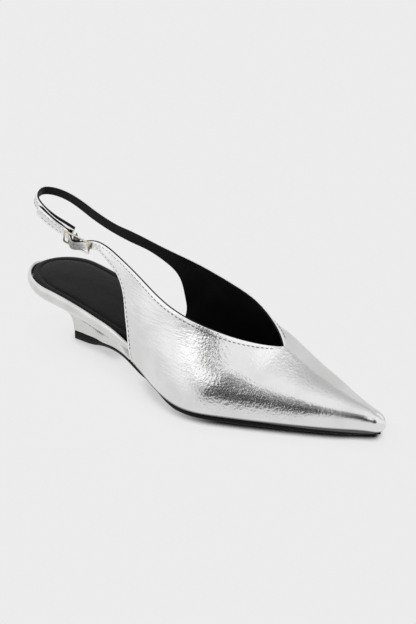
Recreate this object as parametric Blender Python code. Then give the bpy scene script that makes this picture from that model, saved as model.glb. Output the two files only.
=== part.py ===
"""Pointed slingback shoe, right foot, on a low undercut wedge.

The shoe stands on z = 0 with its toe towards +X and its outer side towards -Y.
Places along the shoe are shares of its length from the back of the seat, places
across it are shares of the ball width from the middle of the ball, and heights
are shares of the heel height (sole) or of the instep height (upper).
"""
import bpy
import bmesh
import numpy as np

# Driving dimensions in metres.
LENGTH = 0.268
MIDDLE = 0.502
BALL_WIDTH = 0.081
HEEL_HEIGHT = 0.0385
INSTEP_HEIGHT = 0.039

GAP = 0.0003
MERGE = 1e-6
WALL = 0.0018
SOCK_THICKNESS = 0.0022
TOE_SPRING = 0.0026

# Heel tip and outsole: outline, rise of the tread as a share of the heel height, thickness, and how
# far the sole, skived at the waist, lies inside the foot of the upper.
# along, outer edge, inner edge, rise, thickness, inset
OUTSOLE = (
    (0.150, -0.090, 0.155, 0.0000, 0.0060, 0.0000),
    (0.200, -0.092, 0.157, 0.0000, 0.0060, 0.0000),
    (0.225, -0.098, 0.160, 0.0300, 0.0050, 0.0000),
    (0.250, -0.125, 0.175, 0.1000, 0.0030, 0.0000),
    (0.300, -0.200, 0.212, 0.2300, 0.0022, 0.0000),
    (0.350, -0.270, 0.248, 0.2852, 0.0020, 0.0000),
    (0.400, -0.335, 0.286, 0.2528, 0.0019, -0.0002),
    (0.425, -0.368, 0.309, 0.2240, 0.0016, 0.0001),
    (0.450, -0.400, 0.335, 0.1886, 0.0013, 0.0012),
    (0.500, -0.455, 0.398, 0.0860, 0.0019, 0.0010),
    (0.550, -0.490, 0.462, 0.0000, 0.0032, 0.0005),
    (0.600, -0.490, 0.496, 0.0000, 0.0032, 0.0002),
    (0.650, -0.440, 0.490, 0.0000, 0.0032, 0.0002),
    (0.700, -0.375, 0.455, 0.0000, 0.0032, 0.0002),
    (0.750, -0.305, 0.405, 0.0000, 0.0032, 0.0002),
    (0.800, -0.232, 0.348, 0.0000, 0.0032, 0.0002),
    (0.850, -0.155, 0.285, 0.0000, 0.0032, 0.0003),
    (0.900, -0.072, 0.215, 0.0000, 0.0032, 0.0004),
    (0.950, 0.015, 0.148, 0.0000, 0.0027, 0.0006),
    (0.991, 0.075, 0.118, 0.0000, 0.0012, 0.0008),
)
HEEL_FLAT_TO = 0.200
FLAT_FROM = 0.550
FLAT_TO = 0.900
OUTSOLE_BACK = 0.235
FOOT_TIP = 0.9905
SOLE_TIP = 0.9895
TOE_ROUND = 0.012
TIP_ROUND = 0.006
SQUARE_END = 0.0001

# Footbed with its seat rim, and the sock on it.
# along, outer edge, inner edge, sock top, rim depth
SEAT = (
    (0.000, -0.240, 0.395, 1.020, 0.0095),
    (0.100, -0.255, 0.408, 0.990, 0.0095),
    (0.200, -0.278, 0.385, 0.925, 0.0092),
    (0.300, -0.310, 0.338, 0.815, 0.0086),
    (0.380, -0.309, 0.282, 0.670, 0.0090),
    (0.450, -0.325, 0.280, 0.500, 0.0080),
    (0.500, -0.380, 0.340, 0.380, 0.0065),
    (0.550, -0.430, 0.410, 0.265, 0.0045),
    (0.600, -0.440, 0.445, 0.195, 0.0030),
    (0.650, -0.400, 0.450, 0.155, 0.0030),
    (0.750, -0.265, 0.365, 0.150, 0.0030),
    (0.850, -0.115, 0.245, 0.150, 0.0030),
    (0.950, 0.045, 0.125, 0.165, 0.0030),
    (1.000, 0.080, 0.110, 0.200, 0.0030),
)
SEAT_BACK = 0.004
SEAT_ROUND = 0.105
SOCK_END = 0.962
SOCK_TOE_ROUND = 0.03
FOOTBED_END = 0.605
FOOTBED_ROUND = 0.02

# Levels of each slab, bottom to top: how far the outline is drawn in, share of the height.
RIM_LEVELS = (
    (0.0120, 0.00), (0.0075, 0.05), (0.0042, 0.20), (0.0018, 0.42),
    (0.0005, 0.65), (0.0000, 0.84), (0.0005, 0.95), (0.0018, 1.00),
)
SOCK_LEVELS = ((0.0036, 0.00), (0.0030, 0.30), (0.0030, 0.65), (0.0038, 1.00))
SOLE_LEVELS = ((0.0008, 0.00), (0.0000, 0.25), (0.0000, 1.00))
TIP_LEVELS = ((0.0008, 0.00), (0.0002, 0.15), (0.0002, 1.00))

# Wedge: back and front shares of its foot and of its top, and how hollow its sides are.
WEDGE_BACK = (0.154, 0.146)
WEDGE_FRONT = 0.379
WEDGE_RUNOUT = (0.375, 0.410)
WEDGE_INSET_LOW = 0.0004
WEDGE_INSET_HIGH = 0.0070
WEDGE_HOLLOW = 2.6
WEDGE_STATIONS = 20
WEDGE_LEVELS = 6

# Ridge of the vamp from the toe back to the point of the throat.
# foot of the section, ridge, across, ridge height, toe roundness, side lean, facet slope, facet reach
VAMP = (
    (0.9905, 0.983, 0.100, 0.350, 0.0050, 12, 18, 0.45),
    (0.9840, 0.974, 0.100, 0.400, 0.0042, 12, 14, 0.48),
    (0.9680, 0.958, 0.100, 0.440, 0.0022, 11, 9, 0.54),
    (0.9430, 0.938, 0.100, 0.475, 0.0006, 10, 5, 0.60),
    (0.9050, 0.905, 0.100, 0.535, 0.0000, 9, 3, 0.64),
    (0.8550, 0.857, 0.100, 0.635, 0.0000, 9, 3, 0.64),
    (0.7950, 0.798, 0.099, 0.775, 0.0000, 8, 5, 0.575),
    (0.7250, 0.731, 0.097, 1.008, 0.0000, 9, 12, 0.505),
)
FOOT_HANDLE = 0.50
TOP_HANDLE = 0.42
TOE_BLOCK = 4
TOE_LINING_ROUND = 0.0010

# Quarters behind the throat: foot on the sole, then the top edge.
# foot, top, across, height, side lean, top lean
OUTER_QUARTER = (
    (0.690, 0.7075, -0.002, 1.080, 8, 73),
    (0.648, 0.6820, -0.100, 1.170, 6, 57),
    (0.604, 0.6550, -0.186, 1.266, 6, 40),
    (0.555, 0.6250, -0.257, 1.362, 8, 30),
    (0.503, 0.5900, -0.310, 1.451, 13, 21),
    (0.450, 0.5560, -0.335, 1.519, 17, 15),
    (0.408, 0.5300, -0.341, 1.569, 16, 12),
    (0.388, 0.5150, -0.341, 1.599, 16, 11),
)
INNER_QUARTER = (
    (0.690, 0.7075, 0.171, 1.080, 8, 73),
    (0.650, 0.6820, 0.233, 1.147, 6, 57),
    (0.610, 0.6550, 0.281, 1.219, 6, 40),
    (0.562, 0.6250, 0.319, 1.295, 8, 30),
    (0.512, 0.5920, 0.342, 1.372, 11, 21),
    (0.465, 0.5600, 0.346, 1.442, 12, 15),
    (0.425, 0.5360, 0.342, 1.494, 11, 12),
    (0.406, 0.5220, 0.339, 1.525, 10, 11),
)

# Back edge of each quarter up into its strap: the low edge, then the top edge.
# low along, low across, low height, top along, top across, top height, side lean, top lean
OUTER_BACK_EDGE = (
    (0.3857, -0.350, 0.627, 0.4960, -0.337, 1.640, 10, 10),
    (0.3802, -0.340, 0.894, 0.4700, -0.324, 1.700, 6, 9),
    (0.3710, -0.318, 1.150, 0.4380, -0.299, 1.775, 3, 8),
    (0.3560, -0.272, 1.431, 0.3980, -0.263, 1.867, 0, 7),
    (0.3325, -0.231, 1.675, 0.3520, -0.216, 1.944, -1, 5),
    (0.3040, -0.196, 1.790, 0.3080, -0.177, 2.014, -1, 3),
    (0.2760, -0.172, 1.885, 0.2740, -0.155, 2.060, 0, 0),
)
INNER_BACK_EDGE = (
    (0.4105, 0.312, 0.648, 0.5040, 0.332, 1.566, 8, 10),
    (0.4110, 0.307, 0.944, 0.4780, 0.318, 1.629, 4, 9),
    (0.4050, 0.288, 1.259, 0.4460, 0.295, 1.708, 2, 8),
    (0.3890, 0.267, 1.482, 0.4060, 0.262, 1.797, 0, 7),
    (0.3555, 0.237, 1.656, 0.3600, 0.226, 1.895, -1, 5),
    (0.3200, 0.213, 1.767, 0.3140, 0.202, 1.986, -1, 3),
    (0.2810, 0.202, 1.817, 0.2724, 0.197, 2.034, 0, 0),
)

# Heel sling along its own tilted plane: its outer top edge, width, lift off that plane.
# along, across, width, lift
SLING_RISE = 0.40
SLING_FOOT = (0.2320, 2.044)
SLING = (
    (0.2320, 0.200, 0.0071, 0.0007),
    (0.2060, 0.198, 0.0069, -0.0003),
    (0.1675, 0.192, 0.0068, -0.0006),
    (0.1290, 0.184, 0.0064, -0.0003),
    (0.0960, 0.158, 0.0061, 0.0000),
    (0.0660, 0.100, 0.0062, 0.0000),
    (0.0520, 0.028, 0.0066, 0.0000),
    (0.0545, -0.050, 0.0070, 0.0000),
    (0.0690, -0.122, 0.0070, 0.0000),
    (0.0990, -0.162, 0.0070, 0.0000),
    (0.1330, -0.168, 0.0068, 0.0000),
    (0.1630, -0.152, 0.0064, 0.0000),
    (0.1850, -0.141, 0.0060, 0.0000),
)

# Buckled strap through the slide and out as the tail: outer top edge, width, tilt in degrees.
# along, across, height, width, tilt
BUCKLED_STRAP = (
    (0.2540, -0.158, 2.080, 0.0058, 0),
    (0.2380, -0.166, 2.066, 0.0058, 2),
    (0.2230, -0.197, 2.046, 0.0058, 5),
    (0.2040, -0.243, 2.058, 0.0058, 8),
    (0.1840, -0.201, 2.094, 0.0060, 9),
    (0.1690, -0.167, 2.130, 0.0062, 12),
    (0.1450, -0.187, 2.232, 0.0068, 19),
    (0.1250, -0.198, 2.318, 0.0072, 22),
    (0.1080, -0.196, 2.374, 0.0072, 22),
    (0.0910, -0.187, 2.420, 0.0072, 22),
)

# Slide of the buckle: middle (along, across, height), sizes, tilt in degrees.
SLIDE_PLACE = (0.2020, -0.185, 2.000)
SLIDE_LENGTH = 0.0210
SLIDE_HEIGHT = 0.0102
SLIDE_BAR = 0.0013
SLIDE_TILT = 9

# Elastic from the sling's end round the slide's bar and back: along and across.
ELASTIC = (
    (0.1872, -0.126), (0.1940, -0.148), (0.2005, -0.165), (0.2074, -0.175),
    (0.2086, -0.186), (0.2060, -0.199), (0.2005, -0.203), (0.1940, -0.187), (0.1885, -0.151),
)
ELASTIC_WIDTH = 0.0056
ELASTIC_THICKNESS = 0.0009
ELASTIC_STATIONS = 22

# Finishes: colour, roughness, metallic.
SILVER_LEATHER = ((0.80, 0.80, 0.79), 0.22, 1.0)
BLACK_LEATHER = ((0.012, 0.012, 0.013), 0.45, 0.0)
BLACK_RUBBER = ((0.010, 0.010, 0.011), 0.55, 0.0)
PALE_METAL = ((0.78, 0.72, 0.60), 0.20, 1.0)
GREY_ELASTIC = ((0.32, 0.32, 0.33), 0.80, 0.0)


# Grid sizes of the slabs and of the upper's two halves, and the angle at which an edge shows sharp.
SOCK_STATIONS = 34
FOOTBED_STATIONS = 30
OUTSOLE_STATIONS = 44
TIP_STATIONS = 16
SHARP_ANGLE = 40
VAMP_STATIONS = 15
QUARTER_STATIONS = 18
BACK_EDGE_STATIONS = 14
SLING_STATIONS = 36
BUCKLED_STATIONS = 28
WALL_LEVELS = 9


def spline(knots, values, places):
    """Natural cubic spline through the rows of values, read at places."""
    knots = np.asarray(knots, float)
    values = np.asarray(values, float).reshape(len(knots), -1)
    places = np.atleast_1d(np.asarray(places, float))
    step = np.diff(knots)
    slope = np.diff(values, axis=0) / step[:, None]
    inner = np.arange(1, len(knots) - 1)
    matrix = np.eye(len(knots))
    matrix[inner, inner - 1] = step[:-1]
    matrix[inner, inner] = 2 * (step[:-1] + step[1:])
    matrix[inner, inner + 1] = step[1:]
    bends = np.zeros_like(values)
    bends[inner] = 6 * np.diff(slope, axis=0)
    bends = np.linalg.solve(matrix, bends)
    span = np.clip(np.searchsorted(knots, places) - 1, 0, len(knots) - 2)
    after = (places - knots[span])[:, None]
    before = (knots[span + 1] - places)[:, None]
    width = step[span][:, None]
    return (
        (bends[span] * before**3 + bends[span + 1] * after**3) / (6 * width)
        + (values[span] / width - bends[span] * width / 6) * before
        + (values[span + 1] / width - bends[span + 1] * width / 6) * after
    )


def column(table, index):
    """One column of a table as an array."""
    return np.array([row[index] for row in table], float)


def read(table, index, places):
    """A column of a table, read smoothly at places along the shoe."""
    places = np.asarray(places, float)
    return spline(column(table, 0), column(table, index), places.ravel())[:, 0].reshape(places.shape)


def along(share):
    """Distance along the shoe from its middle, towards the toe."""
    return (np.asarray(share, float) - MIDDLE) * LENGTH


def across(share):
    """Distance across the shoe, towards the inner side."""
    return np.asarray(share, float) * BALL_WIDTH


def ease(value, start, end):
    """Smooth step from 0 at start to 1 at end."""
    t = np.clip((np.asarray(value, float) - start) / (end - start), 0, 1)
    return t * t * (3 - 2 * t)


def underside(share):
    """Height of the tread: flat heel tip, arched waist, flat forefoot, toe spring."""
    share = np.asarray(share, float)
    arch = np.maximum(read(OUTSOLE, 3, share), 0) * HEEL_HEIGHT
    toe = TOE_SPRING * np.clip((share - FLAT_TO) / (1 - FLAT_TO), 0, 1) ** 2
    return np.where((share > HEEL_FLAT_TO) & (share < FLAT_FROM), arch, toe)


def sole_top(share):
    """Height of the upper face of heel tip and outsole."""
    return underside(share) + read(OUTSOLE, 4, share)


def sole_inset(share):
    """How far the outsole's edge lies inside the foot of the upper."""
    return read(OUTSOLE, 5, share)


def sock_top(share):
    """Height of the sock that the foot stands on."""
    return read(SEAT, 3, share) * HEEL_HEIGHT


def sock_bottom(share):
    """Underside of the sock, clear of the outsole in the forefoot."""
    return sock_top(share) - SOCK_THICKNESS


def footbed_top(share):
    """Height of the footbed under the sock."""
    return sock_bottom(share) - GAP


def footbed_bottom(share):
    """Underside of the footbed: the rim's depth at the seat, the outsole ahead of the wedge."""
    rim = footbed_top(share) - read(SEAT, 4, share)
    floor = sole_top(share) + GAP
    ahead = ease(share, *WEDGE_RUNOUT)
    return np.maximum(rim * (1 - ahead) + floor * ahead, floor)


def round_end(distance, radius):
    """Share of the full width at a distance from an end that is rounded with this radius."""
    t = np.clip(distance / radius, 0, 1)
    return np.sqrt(1 - (1 - t) ** 2)


def finish(name, points, faces, finish_values):
    """Closed mesh object with merged seams, outward faces and its own material."""
    mesh = bpy.data.meshes.new(name)
    mesh.from_pydata([tuple(p) for p in points], [], faces)
    body = bmesh.new()
    body.from_mesh(mesh)
    bmesh.ops.remove_doubles(body, verts=body.verts, dist=MERGE)
    bmesh.ops.recalc_face_normals(body, faces=body.faces)
    body.to_mesh(mesh)
    body.free()
    mesh.shade_smooth()
    mesh.set_sharp_from_angle(angle=np.radians(SHARP_ANGLE))
    colour, roughness, metallic = finish_values
    material = bpy.data.materials.new(name)
    material.use_nodes = True
    shader = material.node_tree.nodes["Principled BSDF"]
    shader.inputs["Base Color"].default_value = (*colour, 1)
    shader.inputs["Roughness"].default_value = roughness
    shader.inputs["Metallic"].default_value = metallic
    mesh.materials.append(material)
    piece = bpy.data.objects.new(name, mesh)
    bpy.context.scene.collection.objects.link(piece)
    return piece


def grid_faces(rows, columns, first=0):
    """Quads of a grid of points that are numbered row by row from first."""
    row, col = np.meshgrid(np.arange(rows - 1), np.arange(columns - 1), indexing="ij")
    corner = (first + row * columns + col).ravel()
    return np.stack([corner, corner + 1, corner + columns + 1, corner + columns], 1).tolist()


def loft(rings):
    """Points and faces of a body skinned over rings whose two halves mirror each other."""
    count, size = rings.shape[:2]
    station, place = np.meshgrid(np.arange(count - 1), np.arange(size), indexing="ij")
    here = station * size + place
    beside = station * size + (place + 1) % size
    faces = np.stack([here, beside, beside + size, here + size], -1).reshape(-1, 4).tolist()
    for end in (0, (count - 1) * size):
        for place in range(size // 2 - 1):
            faces.append([end + place, end + place + 1, end + size - 2 - place, end + size - 1 - place])
    return rings.reshape(-1, 3), faces


def rings_from_sides(outer_levels, inner_levels):
    """Rings that run up the outer side, level by level, and down the inner side."""
    outer = np.stack(outer_levels, 1)
    inner = np.stack(inner_levels, 1)
    return np.concatenate([outer, inner[:, ::-1]], 1)


def slab(table, ends, rounds, levels, bottom, top, stations, edge_inset=np.zeros_like):
    """Rings of a slab: at each level the table's outline, drawn in, at a share of the height."""
    progress = 0.5 - 0.5 * np.cos(np.linspace(0, np.pi, stations))
    outer_levels, inner_levels = [], []
    for inset, height in levels:
        start = ends[0] + inset / LENGTH
        end = ends[1] - inset / LENGTH
        share = start + (end - start) * progress
        outer = across(read(table, 1, share))
        inner = across(read(table, 2, share))
        half = np.maximum((inner - outer) / 2 - inset - edge_inset(share), MERGE)
        half = half * round_end(share - start, rounds[0]) * round_end(end - share, rounds[1])
        middle = (inner + outer) / 2
        z = bottom(share) + height * (top(share) - bottom(share))
        outer_levels.append(np.stack([along(share), middle - half, z], 1))
        inner_levels.append(np.stack([along(share), middle + half, z], 1))
    return rings_from_sides(outer_levels, inner_levels)


def wedge_rings():
    """Rings of the wedge: tip and outsole outline below, seat above, hollow back and sides."""
    progress = np.linspace(0, 1, WEDGE_STATIONS)
    low = WEDGE_BACK[0] + (WEDGE_FRONT - WEDGE_BACK[0]) * progress
    high = WEDGE_BACK[1] + (WEDGE_FRONT - WEDGE_BACK[1]) * progress
    outer_levels, inner_levels = [], []
    for level in np.linspace(0, 1, WEDGE_LEVELS):
        flare = level**WEDGE_HOLLOW
        share = low + (high - low) * flare
        z_low = sole_top(low) + GAP
        z_high = footbed_bottom(high) - GAP
        z = z_low + (z_high - z_low) * level
        for side, levels, sign in ((1, outer_levels, 1), (2, inner_levels, -1)):
            y_low = across(read(OUTSOLE, side, low)) + sign * WEDGE_INSET_LOW
            y_high = across(read(SEAT, side, high)) + sign * WEDGE_INSET_HIGH
            levels.append(np.stack([along(share), y_low + (y_high - y_low) * flare, z], 1))
    return rings_from_sides(outer_levels, inner_levels)


def wall_controls(foot, top, side_lean, top_lean, outward, top_handle=TOP_HANDLE, roundness=0.0):
    """Four control points of a wall section: upright at its foot, leaning in at its top."""
    run = top[0] - foot[0]
    reach = np.hypot(top[1] - foot[1], top[2] - foot[2])
    low, high = np.radians(side_lean), np.radians(top_lean)
    lift = np.array([run, outward * reach * np.sin(low), reach * np.cos(low)])
    fall = np.array([-run, outward * reach * np.sin(high), -reach * np.cos(high)])
    forward = np.array([roundness, 0, 0])
    return np.stack([foot, foot + FOOT_HANDLE * lift + forward, top + top_handle * fall + forward, top])


def sole_foot(share, side):
    """Foot of the upper on the outsole's edge, on the outer (1) or inner (2) side."""
    edge = read(OUTSOLE, side, [share])[0]
    middle = (read(OUTSOLE, 1, [share])[0] + read(OUTSOLE, 2, [share])[0]) / 2
    width = round_end(np.array(FOOT_TIP - share), TOE_ROUND)
    y = across(middle + (edge - middle) * width)
    return np.array([along(share), y, sole_top(share) + GAP])


def half_sections(side, quarter, back_edge, strap):
    """Control points of every section of one half of the upper, from the toe to the strap's end."""
    outward = -1 if side == 1 else 1
    rows = []
    for foot, ridge, y, height, roundness, lean, slope, handle in VAMP:
        top = np.array([along(ridge), across(y), height * INSTEP_HEIGHT])
        width = outward * round_end(FOOT_TIP - foot, TOE_ROUND)
        rows.append(wall_controls(sole_foot(foot, side), top, lean, 90 - slope, width, handle, roundness))
    for foot, top_share, y, height, lean, top_lean in quarter:
        top = np.array([along(top_share), across(y), height * INSTEP_HEIGHT])
        rows.append(wall_controls(sole_foot(foot, side), top, lean, top_lean, outward))
    for low, low_y, low_z, high, high_y, high_z, lean, top_lean in back_edge:
        foot = np.array([along(low), across(low_y), low_z * INSTEP_HEIGHT])
        top = np.array([along(high), across(high_y), high_z * INSTEP_HEIGHT])
        rows.append(wall_controls(foot, top, lean, top_lean, outward))
    for top, fall in strap:
        rows.append(np.stack([top + fall * share for share in (1, 2 / 3, 1 / 3, 0)]))
    return np.array(rows)


def sling_rows():
    """Top points and falls of the heel sling, which stands square on its tilted plane, sagging a little."""
    foot_along, foot_height = SLING_FOOT
    fall = -np.array([SLING_RISE, 0, 1]) / np.hypot(SLING_RISE, 1)
    rows = []
    for share, y, width, lift in SLING:
        z = foot_height * INSTEP_HEIGHT + SLING_RISE * (foot_along - share) * LENGTH + lift
        rows.append((np.array([along(share), across(y), z]), width * fall))
    return rows


def buckled_rows():
    """Top points and falls of the short strap that runs through the slide to its tail."""
    rows = []
    for share, y, height, width, tilt in BUCKLED_STRAP:
        lean = np.radians(tilt)
        top = np.array([along(share), across(y), height * INSTEP_HEIGHT])
        rows.append((top, -width * np.array([np.sin(lean), 0, np.cos(lean)])))
    return rows


def section_places(sections):
    """Distance of each section from the toe, measured halfway up the wall."""
    middle = sections.mean(axis=1)
    return np.concatenate([[0], np.cumsum(np.linalg.norm(np.diff(middle, axis=0), axis=1))])


def half_surface(sections, shared_places, strap_stations):
    """Outer surface of one half: a grid of stations along it and levels up its wall."""
    vamp_rows, quarter_rows = len(VAMP), len(OUTER_QUARTER)
    places = section_places(sections)
    places[:vamp_rows] = shared_places
    places[vamp_rows:] += shared_places[-1] - section_places(sections)[vamp_rows - 1]
    throat = vamp_rows - 1
    corner = throat + quarter_rows
    strap = corner + len(OUTER_BACK_EDGE)
    stations = np.concatenate([
        np.interp(np.linspace(0, throat, VAMP_STATIONS), np.arange(len(places)), places)[:-1],
        np.linspace(places[throat], places[corner], QUARTER_STATIONS)[:-1],
        np.linspace(places[corner], places[strap], BACK_EDGE_STATIONS)[:-1],
        np.linspace(places[strap], places[-1], strap_stations),
    ])
    nets = spline(places, sections.reshape(len(places), -1), stations).reshape(-1, 4, 3)
    ahead = stations <= places[throat] + MERGE
    nets[ahead, 3] = spline(places[:throat + 1], sections[:throat + 1, 3], stations[ahead])
    nets[~ahead, 3] = spline(places[throat:], sections[throat:, 3], stations[~ahead])
    t = np.linspace(0, 1, WALL_LEVELS)
    weights = np.stack([(1 - t) ** 3, 3 * t * (1 - t) ** 2, 3 * t * t * (1 - t), t**3])
    return np.einsum("kl,skc->slc", weights, nets)


def outward_normals(surface, outward):
    """Unit normals of a half of the upper, pointing away from the foot."""
    normal = np.cross(np.gradient(surface, axis=0), np.gradient(surface, axis=1)) * outward
    return normal / np.linalg.norm(normal, axis=2, keepdims=True)


def upper_mesh():
    """Points and faces of the upper: two halves, outer and inner skin, and the cut edges."""
    outer_rows = half_sections(1, OUTER_QUARTER, OUTER_BACK_EDGE, buckled_rows())
    inner_rows = half_sections(2, INNER_QUARTER, INNER_BACK_EDGE, sling_rows())
    shared = section_places(outer_rows[:len(VAMP)])
    halves = [
        half_surface(outer_rows, shared, BUCKLED_STATIONS),
        half_surface(inner_rows, shared, SLING_STATIONS),
    ]
    normals = [outward_normals(halves[0], -1), outward_normals(halves[1], 1)]
    ridge = normals[0][:VAMP_STATIONS, -1] + normals[1][:VAMP_STATIONS, -1]
    ridge[0] = ridge[1]
    ridge /= np.linalg.norm(ridge, axis=1, keepdims=True)
    for normal in normals:
        normal[:VAMP_STATIONS, -1] = ridge
    linings = [half - WALL * normal for half, normal in zip(halves, normals)]
    nose = (linings[0][TOE_BLOCK] + linings[1][TOE_BLOCK]) / 2 + np.array([TOE_LINING_ROUND, 0, 0])
    points, faces = [], []
    for half, lining in zip(halves, linings):
        last = VAMP_STATIONS - 1
        shift = np.interp(np.arange(VAMP_STATIONS), (1, last), (TOE_BLOCK, last))
        lower = np.floor(shift).astype(int)
        upper = np.minimum(lower + 1, last)
        part = (shift - lower)[:, None, None]
        lining[:VAMP_STATIONS] = lining[lower] * (1 - part) + lining[upper] * part
        lining[0] = nose
        rows, levels = half.shape[:2]
        first = sum(len(p) for p in points)
        second = first + rows * levels
        faces += grid_faces(rows, levels, first) + grid_faces(rows, levels, second)
        foot = first + np.arange(rows) * levels
        top = foot[VAMP_STATIONS - 1:] + levels - 1
        end = foot[-1] + np.arange(levels)
        for edge in (foot, top, end):
            for here, beyond in zip(edge[:-1], edge[1:]):
                faces.append([here, beyond, beyond + second - first, here + second - first])
        points += [half.reshape(-1, 3), lining.reshape(-1, 3)]
    return np.concatenate(points), faces


def slide_mesh():
    """Points and faces of the slide: a flat frame with two slots either side of its bar."""
    half_length, half_height = SLIDE_LENGTH / 2, SLIDE_HEIGHT / 2
    columns = np.array([-half_length, -half_length + SLIDE_BAR, -SLIDE_BAR / 2,
                        SLIDE_BAR / 2, half_length - SLIDE_BAR, half_length])
    rows = np.array([-half_height, -half_height + SLIDE_BAR, half_height - SLIDE_BAR, half_height])
    tilt = np.radians(SLIDE_TILT)
    run = np.array([np.cos(tilt), 0, -np.sin(tilt)])
    rise = np.array([np.sin(tilt), 0, np.cos(tilt)])
    depth = np.array([0, SLIDE_BAR, 0])
    centre = np.array([along(SLIDE_PLACE[0]), across(SLIDE_PLACE[1]), SLIDE_PLACE[2] * INSTEP_HEIGHT])
    layer = np.array([[centre + c * run + r * rise for r in rows] for c in columns])
    points = np.concatenate([(layer + side * depth / 2).reshape(-1, 3) for side in (-1, 1)])
    size = layer.shape[0] * layer.shape[1]
    solid = np.ones((len(columns) - 1, len(rows) - 1), bool)
    solid[1, 1] = solid[3, 1] = False
    faces = []
    for (c, r), full in np.ndenumerate(solid):
        if not full:
            continue
        low = c * len(rows) + r
        corners = [low, low + len(rows), low + len(rows) + 1, low + 1]
        faces += [corners, [k + size for k in corners]]
        beside = ((c, r - 1), (c + 1, r), (c, r + 1), (c - 1, r))
        for (nc, nr), a, b in zip(beside, corners, corners[1:] + corners[:1]):
            inside = 0 <= nc < solid.shape[0] and 0 <= nr < solid.shape[1]
            if not (inside and solid[nc, nr]):
                faces.append([a, b, b + size, a + size])
    return points, faces


def elastic_mesh():
    """Points and faces of the elastic: a flat band folded round the slide's bar."""
    path = np.array([[along(s), across(y)] for s, y in ELASTIC])
    fine = spline(np.arange(len(path)), path, np.linspace(0, len(path) - 1, ELASTIC_STATIONS))
    run = np.gradient(fine, axis=0)
    side = np.stack([-run[:, 1], run[:, 0]], 1) / np.linalg.norm(run, axis=1, keepdims=True)
    tilt = np.radians(SLIDE_TILT)
    rise = np.array([np.sin(tilt), 0, np.cos(tilt)])
    middle = SLIDE_PLACE[2] * INSTEP_HEIGHT - np.tan(tilt) * (fine[:, 0] - along(SLIDE_PLACE[0]))
    rings = []
    for face, edge in ((-1, -1), (-1, 1), (1, 1), (1, -1)):
        plan = fine + face * side * ELASTIC_THICKNESS / 2
        rings.append(np.column_stack([plan, middle]) + edge * rise * ELASTIC_WIDTH / 2)
    return loft(np.stack(rings, 1))


for stale in list(bpy.data.objects):
    bpy.data.objects.remove(stale, do_unlink=True)

sock = slab(SEAT, (SEAT_BACK, SOCK_END), (SEAT_ROUND, SOCK_TOE_ROUND), SOCK_LEVELS,
            sock_bottom, sock_top, SOCK_STATIONS)
footbed = slab(SEAT, (SEAT_BACK, FOOTBED_END), (SEAT_ROUND, FOOTBED_ROUND), RIM_LEVELS,
               footbed_bottom, footbed_top, FOOTBED_STATIONS)
outsole = slab(OUTSOLE, (OUTSOLE_BACK, SOLE_TIP), (SQUARE_END, TOE_ROUND), SOLE_LEVELS,
               underside, sole_top, OUTSOLE_STATIONS, sole_inset)
heel_tip = slab(OUTSOLE, (WEDGE_BACK[0], OUTSOLE_BACK - GAP / LENGTH), (TIP_ROUND, SQUARE_END), TIP_LEVELS,
                underside, sole_top, TIP_STATIONS)

finish("upper", *upper_mesh(), SILVER_LEATHER)
finish("insole", *loft(sock), BLACK_LEATHER)
finish("footbed", *loft(footbed), SILVER_LEATHER)
finish("wedge_heel", *loft(wedge_rings()), SILVER_LEATHER)
finish("outsole", *loft(outsole), BLACK_RUBBER)
finish("heel_tip", *loft(heel_tip), BLACK_RUBBER)
finish("buckle_slide", *slide_mesh(), PALE_METAL)
finish("elastic_loop", *elastic_mesh(), GREY_ELASTIC)
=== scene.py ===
import bmesh
import bpy
import numpy as np
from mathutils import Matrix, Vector


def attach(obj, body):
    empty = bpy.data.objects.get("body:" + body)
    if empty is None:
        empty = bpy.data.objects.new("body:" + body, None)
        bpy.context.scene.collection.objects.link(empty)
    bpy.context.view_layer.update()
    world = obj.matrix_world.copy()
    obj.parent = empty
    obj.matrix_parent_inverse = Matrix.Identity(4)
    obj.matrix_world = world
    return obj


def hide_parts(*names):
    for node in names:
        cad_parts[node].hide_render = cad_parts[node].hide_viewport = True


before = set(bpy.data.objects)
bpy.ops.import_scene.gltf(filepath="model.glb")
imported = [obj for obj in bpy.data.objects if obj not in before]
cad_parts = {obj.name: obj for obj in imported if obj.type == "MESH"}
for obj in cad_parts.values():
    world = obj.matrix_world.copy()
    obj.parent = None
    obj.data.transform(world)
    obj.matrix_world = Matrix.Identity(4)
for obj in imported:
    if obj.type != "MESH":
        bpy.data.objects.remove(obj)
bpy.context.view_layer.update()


# Outsole and heel tip. A thin black sole sheet is cut to the outline of the last, skived at the
# waist and glued under the upper; a thicker black top piece takes the wear under the wedge.
# Places along are shares of LENGTH from the back of the seat, across shares of BALL_WIDTH.
LENGTH = 0.268
MIDDLE = 0.502
BALL_WIDTH = 0.081
HEEL_HEIGHT = 0.0385
TOE_SPRING = 0.0026
GAP = 0.0003
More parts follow.
